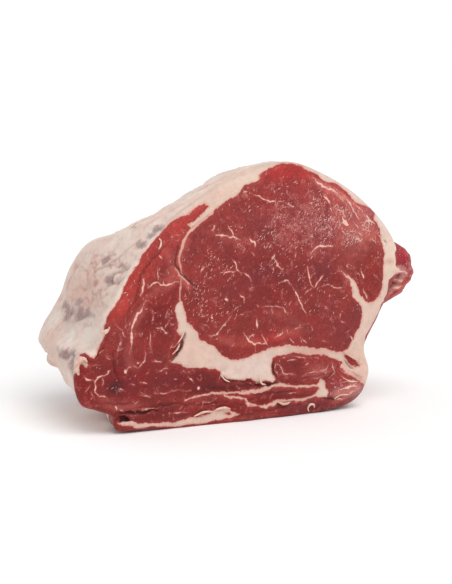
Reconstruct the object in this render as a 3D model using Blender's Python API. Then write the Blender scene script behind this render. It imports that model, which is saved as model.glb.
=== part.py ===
"""Boneless raw beef rib roast, as one solid.

The roast is a loft between its two cut faces. The thick front cut faces -Y, the thinner back cut faces +Y,
the fat-covered flank slopes down towards -X, and the trimmed backbone side, with its hanging lobe, is at +X.
It rests on the flat that its own weight gives the rib side, at Z = 0.
"""

import bmesh
import bpy
import numpy as np

MM = 0.001  # every size below is in millimetres, and the mesh is in metres

# Driving dimensions
FRONT_Y = -50.0  # plane of the front cut
BACK_Y = 42.0  # plane of the back cut
STEPS_AROUND = 88
STEPS_ALONG = 16
STEPS_ON_EDGE = 3  # rings that turn each cut's edge
RINGS_ON_CUT = 6
EDGE_ROUND = 3.0  # how far a cut's edge is rounded over
CUT_HALF_WIDTH = 70.0
FLANK_CROWN = 3.0  # how far the sides swell between the two cuts
CROWN_FROM, CROWN_FULL_AFTER = 15.0, 40.0  # that swell starts this high, and is full this much higher
LOIN_CENTRE_FRONT = (-15.0, 62.0)
LOIN_CENTRE_BACK = (-4.0, 55.0)

# The muscles run obliquely through the roast: each mm deeper, they lie this much further along X and Z.
GRAIN_X, GRAIN_Z = 0.53, -0.16

# Outer outline of each cut (x, z), clockwise from the lower left corner. Both go through the same landmarks.
FRONT_OUTLINE = (
    (-91.5, 2.0),  # corner of the thin rib-side layer
    (-94.5, 9.5),  # fold between that layer and the flank
    (-103.5, 13.5),
    (-113.0, 17.5),  # lean tip of the flank
    (-117.0, 29.0),
    (-115.0, 42.5),
    (-103.5, 47.0),  # the fat laps over the tip here
    (-100.0, 58.0),
    (-89.0, 79.0),  # fat-covered slope
    (-68.5, 105.0),
    (-45.0, 122.0),
    (-16.0, 135.5),
    (12.0, 141.0),  # crest of the loin
    (35.0, 133.5),
    (57.0, 120.3),
    (76.0, 101.5),
    (84.0, 84.0),  # backbone side
    (78.5, 66.0),
    (69.5, 48.5),
    (62.0, 34.5),  # waist above the rib meat
    (65.5, 19.5),
    (58.5, 6.0),
    (42.0, 0.5),  # flat rib side
    (10.0, -1.0),
    (-35.0, -1.0),
    (-72.0, 0.5),
)
BACK_OUTLINE = (
    (-60.0, 1.5),
    (-66.0, 9.0),
    (-75.0, 19.0),
    (-90.0, 29.5),
    (-99.0, 36.5),
    (-96.5, 46.0),
    (-90.5, 55.0),
    (-85.0, 64.0),
    (-78.5, 79.0),
    (-66.0, 92.5),
    (-40.0, 98.0),
    (-12.0, 109.5),
    (14.0, 119.0),
    (36.0, 117.0),
    (54.0, 107.0),
    (68.0, 92.0),
    (76.0, 76.0),
    (74.0, 61.0),
    (67.0, 46.0),
    (62.0, 33.0),
    (62.0, 19.0),
    (53.0, 6.0),
    (36.0, -0.5),
    (10.0, -1.0),
    (-22.0, -1.0),
    (-45.0, 0.0),
)

# The lobe of trimmed meat that hangs beside the backbone edge, just behind the front cut
LOBE_CENTRE_Y = -34.0
LOBE_CENTRE_Z = 71.5
LOBE_OUT = 17.5
LOBE_REACH_FRONT = 15.0
LOBE_REACH_BACK = 36.0
LOBE_REACH_Z = 24.0
LOBE_FULLNESS = 1.2  # over 1 gives it a blunt end

# Soft swells and hollows of the sides: (x, y, z, reach, height)
SWELLS = (
    (-108.0, -14.0, 54.0, 20.0, 2.5),
    (-80.0, 10.0, 84.0, 24.0, 2.0),
    (-94.0, -8.0, 70.0, 12.0, -2.0),
    (-12.0, -22.0, 132.0, 22.0, 3.0),
    (-50.0, 28.0, 98.0, 16.0, -2.5),
    (-112.0, -28.0, 22.0, 16.0, -2.0),
    (70.0, 22.0, 62.0, 18.0, 3.0),
    (64.0, 0.0, 34.0, 14.0, -2.0),
)

BEEF_RED = (0.36, 0.035, 0.035, 1.0)
BEEF_ROUGHNESS = 0.42


def smooth_loop(points, u):
    """Points of the closed Catmull-Rom curve through `points`, at the places u, counted in control points."""
    points = np.asarray(points, float)
    first = np.floor(u).astype(int)
    f = (u - first)[:, None]
    a, b, c, d = (points[(first + k) % len(points)] for k in (-1, 0, 1, 2))
    return 0.5 * (2 * b + (c - a) * f + (2 * a - 5 * b + 4 * c - d) * f**2 + (3 * (b - c) + d - a) * f**3)


def even_places(points, count):
    """Places on the closed curve through `points`, evenly spaced along its length."""
    u = np.linspace(0, len(points), 40 * len(points), endpoint=False)
    curve = smooth_loop(points, u)
    steps = np.linalg.norm(np.roll(curve, -1, axis=0) - curve, axis=1)
    run = np.concatenate([[0], np.cumsum(steps)])
    return np.interp(np.arange(count) * run[-1] / count, run, np.append(u, len(points)))


def smooth_step(x):
    x = np.clip(x, 0, 1)
    return x * x * (3 - 2 * x)


def taper(t):
    """How far the outline has changed from the front cut's to the back cut's, a share t of the way back."""
    return 0.5 * t + 0.5 * smooth_step(t)


def front_relief(x, z):
    """How far the front cut stands behind its plane: it leans back at the crest and falls away at the flank's tip."""
    crest = 9.0 * smooth_step((z - 95.0) / 60.0)
    tip = 7.0 * smooth_step((-85.0 - x) / 40.0)
    rib_side = -2.5 * smooth_step((30.0 - z) / 30.0)
    return crest + tip + rib_side


def back_relief(x, z):
    """The same for the back cut, which bulges a little at the middle of the loin."""
    return -2.5 * np.exp(-(((x - 8.0) / 55.0) ** 2) - ((z - 62.0) / 45.0) ** 2)


def swell(ring, t):
    """Adds the crown, the lobe and the swells to a ring of points a share t of the way to the back cut."""
    away_from_middle = (ring - ring.mean(axis=0)) * (1, 0, 1)
    out = away_from_middle / np.linalg.norm(away_from_middle, axis=1)[:, None]
    clear_of_table = smooth_step((ring[:, 2] - CROWN_FROM) / CROWN_FULL_AFTER)
    ring = ring + out * (FLANK_CROWN * np.sin(np.pi * t) * clear_of_table)[:, None]
    for x, y, z, size, height in SWELLS:
        share = np.exp(-((ring - (x, y, z)) ** 2).sum(axis=1) / size**2)
        ring += out * (height * share)[:, None]
    reach = np.where(ring[:, 1] < LOBE_CENTRE_Y, LOBE_REACH_FRONT, LOBE_REACH_BACK)
    away = ((ring[:, 1] - LOBE_CENTRE_Y) / reach) ** 2 + ((ring[:, 2] - LOBE_CENTRE_Z) / LOBE_REACH_Z) ** 2
    on_right = ring[:, 0] > LOIN_CENTRE_BACK[0]
    ring[:, 0] += on_right * LOBE_OUT * smooth_step(LOBE_FULLNESS * (1 - away))
    return ring


def front_ring(u, share, sink):
    """A ring on the front cut: its outline drawn in towards the middle, `sink` behind the cut's own surface."""
    ring = np.asarray(LOIN_CENTRE_FRONT) + (smooth_loop(FRONT_OUTLINE, u) - LOIN_CENTRE_FRONT) * share
    depth = front_relief(ring[:, 0], ring[:, 1]) + sink
    return np.column_stack([ring[:, 0] + GRAIN_X * depth, FRONT_Y + depth, ring[:, 1] + GRAIN_Z * depth])


def back_ring(u, share, sink):
    """The same on the back cut, whose outline is given where it lies."""
    ring = np.asarray(LOIN_CENTRE_BACK) + (smooth_loop(BACK_OUTLINE, u) - LOIN_CENTRE_BACK) * share
    depth = back_relief(ring[:, 0], ring[:, 1]) + sink
    return np.column_stack([ring[:, 0], BACK_Y - depth, ring[:, 1]])


def cut_rings(ring_at, u):
    """Rings over a cut and round its edge, innermost first. The last one is the edge's outer end."""
    inner = np.linspace(0, 1, RINGS_ON_CUT + 2)[1:-1]
    rings = [ring_at(u, share, 0.0) for share in inner]
    for angle in np.linspace(0, np.pi / 2, STEPS_ON_EDGE + 1):
        drawn_in = EDGE_ROUND * (1 - np.sin(angle)) / CUT_HALF_WIDTH
        rings.append(ring_at(u, 1 - drawn_in, EDGE_ROUND * (1 - np.cos(angle))))
    return rings


def roast_rings():
    """Every ring of the loft, from the middle of the front cut to the middle of the back cut."""
    u = even_places(FRONT_OUTLINE, STEPS_AROUND)
    front, back = cut_rings(front_ring, u), cut_rings(back_ring, u)
    start, end = front.pop(), back.pop()
    sides = []
    for k in range(STEPS_ALONG + 1):
        t = (k / STEPS_ALONG) ** 1.2  # closer together near the front, where the lobe starts
        ring = start + (end - start) * t
        ring[:, (0, 2)] = (start + (end - start) * taper(t))[:, (0, 2)]
        sides.append(swell(ring, t))
    return front + sides + back[::-1]


def loft(rings, name):
    """One closed mesh through the rings, with its first and last rings drawn together to a point."""
    middle_front = rings[0].mean(axis=0)
    middle_back = rings[-1].mean(axis=0)
    points = np.vstack([*rings, middle_front, middle_back])
    points[:, 2] = np.maximum(points[:, 2], 0.0)  # the weight of the meat flattens its underside
    low, high = points.min(axis=0), points.max(axis=0)
    points[:, :2] -= ((low + high) / 2)[:2]  # the origin is under the middle of the roast

    mesh = bmesh.new()
    verts = [mesh.verts.new(p * MM) for p in points]
    around = len(rings[0])
    for r in range(len(rings) - 1):
        for k in range(around):
            a, b = r * around + k, r * around + (k + 1) % around
            mesh.faces.new([verts[i] for i in (a, b, b + around, a + around)])
    last = (len(rings) - 1) * around
    for k in range(around):
        after = (k + 1) % around
        mesh.faces.new([verts[after], verts[k], verts[-2]])
        mesh.faces.new([verts[last + k], verts[last + after], verts[-1]])
    bmesh.ops.recalc_face_normals(mesh, faces=mesh.faces)
    data = bpy.data.meshes.new(name)
    mesh.to_mesh(data)
    mesh.free()
    data.shade_smooth()
    print(f"{name}: {len(points)} points, sides {np.round(high - low, 1)} mm")
    return data


def raw_beef():
    material = bpy.data.materials.new("raw_beef")
    material.use_nodes = True
    shader = material.node_tree.nodes["Principled BSDF"]
    shader.inputs["Base Color"].default_value = BEEF_RED
    shader.inputs["Roughness"].default_value = BEEF_ROUGHNESS
    shader.inputs["Metallic"].default_value = 0.0
    return material


for old in list(bpy.data.objects):
    bpy.data.objects.remove(old)

roast = bpy.data.objects.new("roast", loft(roast_rings(), "roast"))
roast.data.materials.append(raw_beef())
bpy.context.scene.collection.objects.link(roast)
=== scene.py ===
# %% [markdown]
# # A raw beef rib roast
# This is the thick end of a boneless rib: one piece of meat with two cut faces. The front cut shows the
# round loin eye, the long plate muscles beside and below it, and the fat that lies between them. The
# flank side is covered in fat, the rib side is flat where the bones were taken out, and a lobe of trimmed
# meat hangs at the backbone edge. The lesson makes its form from two outlines, draws the muscles and
# seams on the cuts, and builds one fine mesh that carries them. Geometry Nodes then scatter and string
# the small things, and node materials give the finish.

import bpy
import numpy as np
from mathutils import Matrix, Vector, geometry


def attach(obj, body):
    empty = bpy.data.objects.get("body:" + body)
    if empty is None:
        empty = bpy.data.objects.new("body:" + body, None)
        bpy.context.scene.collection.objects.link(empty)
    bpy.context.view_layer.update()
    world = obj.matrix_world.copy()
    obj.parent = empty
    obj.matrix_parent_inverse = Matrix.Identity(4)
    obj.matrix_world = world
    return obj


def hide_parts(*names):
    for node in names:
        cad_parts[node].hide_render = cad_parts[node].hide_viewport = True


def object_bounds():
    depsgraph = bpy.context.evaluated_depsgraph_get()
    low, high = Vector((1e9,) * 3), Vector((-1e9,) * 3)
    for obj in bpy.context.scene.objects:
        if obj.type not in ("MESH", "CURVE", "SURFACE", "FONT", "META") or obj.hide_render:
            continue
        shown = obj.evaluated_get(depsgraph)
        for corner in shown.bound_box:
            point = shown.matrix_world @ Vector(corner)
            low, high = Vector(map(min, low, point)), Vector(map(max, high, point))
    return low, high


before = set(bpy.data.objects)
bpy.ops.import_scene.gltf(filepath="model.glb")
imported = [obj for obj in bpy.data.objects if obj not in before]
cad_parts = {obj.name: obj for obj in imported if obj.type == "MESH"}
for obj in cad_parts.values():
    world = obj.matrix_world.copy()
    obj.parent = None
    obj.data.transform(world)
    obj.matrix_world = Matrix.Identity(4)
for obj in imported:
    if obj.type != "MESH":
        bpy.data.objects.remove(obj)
cad_low, cad_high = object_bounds()
MM = 0.001  # sizes below are in millimetres, and Blender's are in metres
print("solid:", [round(1000 * (b - a), 1) for a, b in zip(cad_low, cad_high)], "mm")

# %% [markdown]
# ## The form
# A roast like this is a short stretch of the animal's back, so its two cuts have nearly the same outline.
# Each outline is a closed curve through landmarks that both share: the corner of the rib side, the tip of
# the flank, the crest, the backbone side, the waist. The sides join landmark to landmark. A curve through
# points is easier to adjust than a sculpted mesh, because moving one number moves one landmark.

# %% Outlines
FRONT_Y = -50.0
BACK_Y = 42.0
EDGE_ROUND = 3.0  # how far a cut's edge is rounded over
CUT_HALF_WIDTH = 70.0
FLANK_CROWN = 3.0
CROWN_FROM, CROWN_FULL_AFTER = 15.0, 40.0
LOIN_CENTRE_FRONT = np.array((-15.0, 62.0))
LOIN_CENTRE_BACK = np.array((-4.0, 55.0))
GRAIN_X, GRAIN_Z = 0.53, -0.16  # the muscles run obliquely: what a mm of depth adds to X and Z

FRONT_OUTLINE = (
    (-91.5, 2.0), (-94.5, 9.5), (-103.5, 13.5), (-113.0, 17.5), (-117.0, 29.0), (-115.0, 42.5),
    (-103.5, 47.0), (-100.0, 58.0), (-89.0, 79.0), (-68.5, 105.0), (-45.0, 122.0), (-16.0, 135.5),
    (12.0, 141.0), (35.0, 133.5), (57.0, 120.3), (76.0, 101.5), (84.0, 84.0), (78.5, 66.0), (69.5, 48.5),
    (62.0, 34.5), (65.0, 20.0), (58.6, 6.8), (43.0, 0.8), (10.0, -1.0), (-35.0, -1.0), (-72.0, 0.5),
)  # fmt: skip
BACK_OUTLINE = (
    (-60.0, 1.5), (-66.0, 9.0), (-75.0, 19.0), (-90.0, 29.5), (-99.0, 36.5), (-96.5, 46.0), (-90.5, 55.0),
    (-85.0, 64.0), (-78.5, 79.0), (-66.0, 92.5), (-40.0, 98.0), (-12.0, 109.5), (14.0, 119.0), (36.0, 117.0),
    (54.0, 107.0), (68.0, 92.0), (76.0, 76.0), (74.0, 61.0), (67.0, 46.0), (62.0, 33.0), (62.0, 19.0),
    (53.0, 6.0), (36.0, -0.5), (10.0, -1.0), (-22.0, -1.0), (-45.0, 0.0),
)  # fmt: skip
LANDMARKS = len(FRONT_OUTLINE)
print(LANDMARKS, "landmarks on each cut")


# %% Curves through landmarks
def smooth_loop(points, u):
    """Points of the closed Catmull-Rom curve through `points`, at the places u, counted in control points."""
    points = np.asarray(points, float)
    first = np.floor(u).astype(int)
    f = (u - first)[:, None]
    a, b, c, d = (points[(first + k) % len(points)] for k in (-1, 0, 1, 2))
    return 0.5 * (2 * b + (c - a) * f + (2 * a - 5 * b + 4 * c - d) * f**2 + (3 * (b - c) + d - a) * f**3)


def smooth_path(points, steps=4):
    """The open Catmull-Rom curve through `points`, with `steps` short pieces between each two."""
    points = np.asarray(points, float)
    if len(points) < 3:
        return points
    ends = np.vstack([2 * points[0] - points[1], points, 2 * points[-1] - points[-2]])
    u = np.arange(steps * (len(points) - 1)) / steps
    return np.vstack([smooth_loop(ends, u + 1), points[-1]])


def spread_places(points, count):
    """Places on the closed curve through `points`: closest on the flank, widest under the roast."""
    u = np.linspace(0, len(points), 40 * len(points), endpoint=False)
    curve = smooth_loop(points, u)
    steps = np.linalg.norm(np.roll(curve, -1, axis=0) - curve, axis=1)
    above_table, on_flank = smooth_step(curve[:, 1], 2, 12), smooth_step(-curve[:, 0], 55, 80)
    steps *= 0.55 + 0.55 * above_table + 0.5 * on_flank
    run = np.concatenate([[0], np.cumsum(steps)])
    return np.interp(np.arange(count) * run[-1] / count, run, np.append(u, len(points)))


def smooth_step(x, low=0.0, high=1.0):
    x = np.clip((x - low) / (high - low), 0, 1)
    return x * x * (3 - 2 * x)


outline_x = smooth_loop(FRONT_OUTLINE, np.arange(0, LANDMARKS, 0.1))[:, 0]
print("front cut is", round(float(np.ptp(outline_x)), 1), "mm wide")


# %% [markdown]
# Nothing on meat is quite flat or straight, so most numbers below get a little unevenness. Blender's own
# noise works inside materials, but here the same unevenness has to move points and bend outlines too, so
# the lesson makes its own: random values on a grid, blended smoothly between. A fixed seed gives the same
# roast on every run.

# %% Unevenness
RANDOM_VALUES = 8192  # the grid takes its values from this many


def uneven(points, size, seed):
    """Smooth noise from -1 to 1 at each point, with bumps about `size` mm across."""
    values = np.random.default_rng(seed).uniform(-1, 1, RANDOM_VALUES)
    q = np.asarray(points, float) / size
    cell = np.floor(q).astype(np.int64)
    f = q - cell
    f = f * f * f * (f * (f * 6 - 15) + 10)
    primes = (73856093, 19349663, 83492791)
    total = np.zeros(len(q))
    for corner in range(2 ** q.shape[1]):
        weight, key = np.ones(len(q)), np.zeros(len(q), np.int64)
        for axis in range(q.shape[1]):
            up = corner >> axis & 1
            weight *= f[:, axis] if up else 1 - f[:, axis]
            key ^= (cell[:, axis] + up) * primes[axis]
        total += weight * values[key % RANDOM_VALUES]
    return total


def rough(points, size, seed, octaves=3):
    """Several sizes of unevenness together, each half as wide and half as strong as the last."""
    total = sum(uneven(points, size / 2**k, seed + k) / 2**k for k in range(octaves))
    return total / (2 - 0.5 ** (octaves - 1))


trial = rough(np.random.default_rng(1).uniform(0, 99, (999, 3)), 7, 1)
print("unevenness spans", round(float(trial.min()), 2), "to", round(float(trial.max()), 2))

# %% [markdown]
# ## Muscles, seams and marbling
# What shows on the cut is anatomy. Lean is what is left between the fats, so the fats are drawn: the
# cover outside the meat, the wedge and seam below the eye, and the thin sheets between the plate muscles.
# Each is a closed outline or a stroke with a width, in mm on the cut. The distance to an outline is a
# better thing to store than its colour, because it stays sharp between the points of a mesh, and it also
# tells how the surface swells and sinks there.

# %% Fat outlines on the cut
COVER_FAT = (  # outside the meat: the flank, the top band and the thin strip beyond the crest
    (-160, 14), (-119.5, 15), (-118.5, 24), (-118.3, 32), (-115.2, 35.5), (-113.4, 38.5), (-111.6, 39.2),
    (-109.2, 37.2), (-107.8, 38.4), (-109.6, 41.4), (-113.2, 42.6), (-114.6, 45.4), (-110.2, 44.6),
    (-104.6, 42.4), (-102.6, 45.2), (-100.2, 48.4), (-98.2, 53), (-98.6, 58), (-97.8, 63), (-93.2, 67),
    (-89, 72), (-86.6, 79), (-84, 84), (-78.4, 89), (-75.4, 95), (-70, 101), (-66.2, 104), (-62, 109),
    (-58.6, 112), (-50, 114.6), (-46, 116.6), (-42, 119.4), (-39, 119.6), (-37, 118), (-42, 114),
    (-45, 111.6), (-50.5, 108.6), (-48, 107), (-42, 110.8), (-35, 115), (-25, 121), (-20, 124), (-17, 127),
    (-15, 129), (-8, 130), (-6.5, 131), (-6.2, 133.8), (-3, 137), (1, 138.6), (8, 139.6), (15, 139.4),
    (20, 138.0), (25, 135.4), (30, 133.0), (36, 129.6), (44, 126.0), (47, 124.2), (50, 121.8), (54, 117.6),
    (57, 115.8), (60, 114.8), (62.6, 113.8), (65.4, 112.6), (68.4, 109.6), (67, 107), (69.6, 104.4),
    (70.4, 101.4), (76, 101), (120, 102), (120, 200), (-160, 200),
)  # fmt: skip
SEAM_FAT = (  # the wedge at the eye's lower left, the seam under the eye and the band beside the backbone
    (76, 106), (70.6, 104.5), (71.2, 99.5), (71.6, 95), (74, 88), (74.5, 80), (74, 72), (73, 66), (71, 61.6),
    (66.5, 59.2), (62, 60.4), (58.4, 65), (56, 69), (54, 73), (50, 76.6), (51.6, 72), (52.8, 68), (54, 63.6),
    (57.6, 59.4), (60.4, 54.6), (60.4, 51), (59, 46), (56.2, 43), (54.6, 40), (53, 36), (51, 33.6),
    (47, 32.6), (40, 33.6), (35, 35.4), (30, 36), (22, 38), (15, 38.6), (10, 39.4), (3, 38.4), (-3, 38),
    (-8, 37), (-13, 35), (-18, 34), (-24, 35), (-28, 37.4), (-32, 40), (-34, 43), (-37, 44), (-42, 46.4),
    (-43, 50), (-47, 53.5), (-50.4, 58), (-51.4, 63.4), (-54, 68.4), (-55.4, 68.4), (-57, 66), (-57, 62),
    (-56, 58), (-56.2, 53), (-54, 50.4), (-52, 48), (-54, 44), (-57, 40.2), (-60.4, 36.8), (-60, 35.4),
    (-55, 35), (-52, 32.6), (-48, 32), (-42, 31), (-34, 30.4), (-30, 28), (-31, 25), (-27, 24.4), (-22, 23.4),
    (-19, 22), (-12, 23), (-9, 22), (-8, 20), (-2, 20), (3, 18.6), (4, 20.4), (2.6, 24), (2, 30), (3, 33),
    (5, 34.6), (10, 34.4), (18, 35), (24, 33.2), (30, 32.6), (37, 31), (42, 29.6), (46, 27), (47.6, 24.6),
    (52, 21.6), (57, 18.6), (61.6, 14.6), (62.4, 8), (66, 2), (120, 2), (120, 106),
)  # fmt: skip
FAT_COLUMN = (
    (33, 19), (35, 18), (37, 13), (38.2, 10), (37.5, 8), (31, 8.4), (28, 9.4), (31, 11), (32, 13.4), (31, 15),
)  # fmt: skip
LOWEST_FAT = (
    (-92, 6.4), (-88, 7), (-80, 5.6), (-70, 4), (-62, 3.2), (-52, 4.2), (-44, 5.6), (-36, 6.6), (-33, 8.6),
    (-31, 7.6), (-25, 7.6), (-21, 6), (-18, 4), (-23, 2.4), (-30, 1.5), (-50, 1), (-62, 1), (-80, 2.8),
)  # fmt: skip
LEAN_ISLANDS = (  # meat that shows inside a fat
    ((48, 29.6), (51, 30.4), (53.6, 29.2), (56, 27), (58.6, 24), (55.2, 23.4), (51, 26)),
    ((69.6, 49), (66.8, 45), (63.4, 39.6), (64, 38), (68, 44)),
    ((-27.6, 5), (-24, 5.6), (-22, 4.6), (-24.4, 3.6)),
    ((79.4, 70), (78.6, 66), (81, 63), (82, 67)),
)  # fmt: skip
print(len(COVER_FAT) + len(SEAM_FAT), "points outline the two largest fats")

# %% Strokes: fat sheets between the layers, width first, then points
FAT_SHEETS = (
    (1.5, (-34, 115), (-42, 110), (-48, 105.6), (-52, 100), (-54, 93), (-54, 86), (-52.4, 82)),
    (1.0, (-57, 87), (-55.4, 82.6), (-52, 80.2), (-49, 77.6)),
    (0.9, (-54, 80), (-55, 74), (-55, 68)),
    (1.1, (-52, 14.6), (-45, 16.5), (-38, 17), (-33, 16.8), (-25, 16.2), (-15, 16)),
    (2.3, (-20, 16), (-5, 15.6), (0, 16.2), (4, 17.4), (8, 17), (15, 16)),
    (1.6, (12, 16.4), (22, 15), (31, 14.4)),
    (1.1, (-31, 16.4), (-25, 14), (-18, 12.8), (-14, 12), (-13, 9.5), (-10, 8.4), (-5, 7)),
    (1.7, (-5, 7), (-2, 6.6), (3, 8.4), (8, 8.4), (14, 7.6)),
    (1.3, (12, 7.8), (20, 8), (30, 9)),
    (2.4, (46.4, 25), (52, 21), (58, 17), (63, 13)),
    (2.2, (-14, 9.6), (-12, 8.8)),
    (2.6, (-3, 7), (-1, 6.8)),
    (2.4, (3, 7.2), (5, 8.2)),
)  # fmt: skip
PLATE_VEINS = (
    (1.2, (-76.4, 83.9), (-75.3, 79.9), (-75.5, 76.4), (-77.5, 72.8)),
    (1.2, (-72.8, 76.1), (-67.6, 79.3), (-64.7, 77.9), (-60, 78.1), (-54.2, 78.6)),
    (0.5, (-67, 87), (-67, 82)),
    (1.5, (-75, 70), (-78, 65), (-80, 62), (-82, 55), (-83, 50), (-83, 45), (-84, 42)),
    (0.8, (-71, 54), (-71.5, 48), (-70.5, 44)), (0.6, (-89, 52), (-90, 49), (-91, 45), (-92, 42)),
    (0.9, (-75, 44), (-76, 38), (-79, 35), (-82, 36.5)), (0.7, (-98, 47), (-102, 43)),
    (0.6, (-62, 64), (-63, 60)), (0.8, (-66, 56), (-64, 53), (-62, 52)), (0.6, (-64, 55), (-62, 58)),
    (0.8, (-67, 39), (-69, 37), (-65, 36.5)), (2.0, (-87, 34.4), (-86, 32.6)),
    (1.0, (-110.5, 33.6), (-108.5, 30), (-104, 29.5)),
    (1.2, (-94, 35), (-98, 32), (-103, 31), (-104, 26), (-102, 22), (-97, 20.5)),
    (0.6, (-100, 31), (-100, 26)), (0.8, (-91, 25.5), (-88, 24), (-86, 22.5)), (0.6, (-84, 27), (-81, 25.5)),
    (0.6, (-78, 26), (-74, 25.5)), (0.5, (-68, 31.5), (-61, 33)), (0.9, (-49, 27), (-46, 24)),
    (1.8, (-43.4, 21.2), (-41.6, 20.8)), (0.5, (-70, 20), (-57, 20), (-48, 19.5)),
    (0.7, (-93, 17), (-92, 14), (-94, 12)), (0.5, (-77, 12), (-67, 12.5)),
    (2.6, (-96.6, 57.6), (-95.4, 56.4)), (0.5, (-93, 60), (-88, 55), (-86, 50)),
    (0.4, (-72, 66), (-70, 62), (-70, 58)), (0.5, (-60, 72), (-62, 68)), (0.4, (-106, 24), (-104, 20)),
    (0.5, (-58, 46), (-60, 43)), (0.4, (-79, 20), (-72, 18)), (0.4, (-40, 13), (-34, 12)),
    (0.5, (-62, 8), (-55, 9), (-49, 8.5)), (0.4, (12, 12.6), (20, 12)), (0.4, (-84, 60), (-86, 56)),
    (0.6, (-110, 24), (-107, 27)), (0.4, (-75, 30), (-72, 33)),
)  # fmt: skip
EYE_VEINS = (
    (1.0, (-38, 104.5), (-34, 104.5), (-32, 102.5), (-28, 102), (-23, 101), (-19, 99.5), (-15, 99)),
    (0.9, (-25, 108.5), (-24, 105), (-21.5, 103), (-21.5, 101)), (0.7, (-34, 104.5), (-32.5, 107)),
    (1.7, (-13, 100), (-11, 98), (-9, 97), (-8.5, 94)),
    (0.9, (-23, 89), (-21, 86), (-19.5, 82.5), (-16, 80.5)),
    (1.1, (-16, 80.5), (-13, 79.5), (-11.5, 77), (-11, 74)), (0.7, (-30, 81.5), (-26, 81.5), (-20, 82.5)),
    (0.9, (3, 90.5), (3.5, 87), (5, 84), (8.5, 81)), (0.9, (7, 74.5), (11, 75.5), (13, 73.5), (15.5, 71)),
    (1.3, (15.5, 71), (19, 64), (21.5, 59), (24, 54.5)),
    (1.3, (25.9, 89), (28.4, 92.2), (32.1, 93.7), (36, 93.2), (41.1, 93.3)),
    (1.4, (24, 82.6), (25.8, 75.8), (27.9, 70.2)), (1.2, (27.9, 70.2), (30, 72.5), (32.4, 75), (34.2, 77.2)),
    (0.7, (31, 70.5), (37, 71.5), (43, 70), (48, 69.5)), (0.9, (58.5, 80), (60, 76), (60.5, 73)),
    (0.7, (50, 82), (51, 80)), (0.8, (50, 95), (54, 96), (57, 95.5), (60, 92)),
    (0.8, (-16, 124.5), (-12, 121.5)), (1.0, (-12, 123.5), (-6, 122), (0, 120), (5, 119.5), (10, 119)),
    (0.7, (10, 119), (14, 117), (17, 114.5)),
    (0.9, (-23, 58.5), (-26, 55), (-29, 52.5), (-31, 49.5), (-34, 48), (-37, 48)),
    (0.6, (-43, 55), (-38, 54), (-37, 52)), (1.6, (-35.5, 58), (-34.5, 57)), (0.6, (-43, 59), (-38, 58.5)),
    (0.6, (-30, 59.5), (-28, 58.5)), (0.6, (-18, 58.5), (-15, 58.5)), (2.4, (-26.4, 68.4), (-25.8, 66.4)),
    (0.7, (-18, 70), (-15, 68), (-15, 65)), (1.4, (-7, 55.8), (-6.5, 49.6)), (0.7, (1, 54), (0.5, 52.5)),
    (0.8, (-4, 61.5), (2, 61), (8, 60.5), (10, 58.5), (14, 57)), (0.7, (11, 49), (12.5, 45.5)),
    (0.6, (15, 48), (22, 48.5)), (0.8, (21, 43.5), (23.5, 40)), (0.7, (4, 44), (8, 46), (9.5, 48.5)),
    (1.2, (0, 39.5), (-2, 42), (-4, 45.5)),
    (1.3, (0, 40), (-5, 41.5), (-10, 42), (-12.5, 44), (-14, 46.5), (-16, 49)), (0.9, (-14, 46), (-8, 47)),
    (0.6, (45, 50.5), (49, 50)), (0.8, (50, 42), (53, 39.5), (54, 37)), (0.4, (-6, 86), (-3, 83)),
    (0.4, (-34, 74), (-31, 71)), (0.4, (33, 60), (38, 58)), (0.4, (38, 84), (43, 86)),
    (0.4, (-40, 88), (-37, 85)), (0.4, (4, 100), (8, 103)), (0.5, (-47, 77), (-44, 80)),
    (0.9, (52, 72), (50, 75), (47, 77.4), (44, 80)), (0.4, (44, 62), (47, 60)),
)  # fmt: skip
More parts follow.
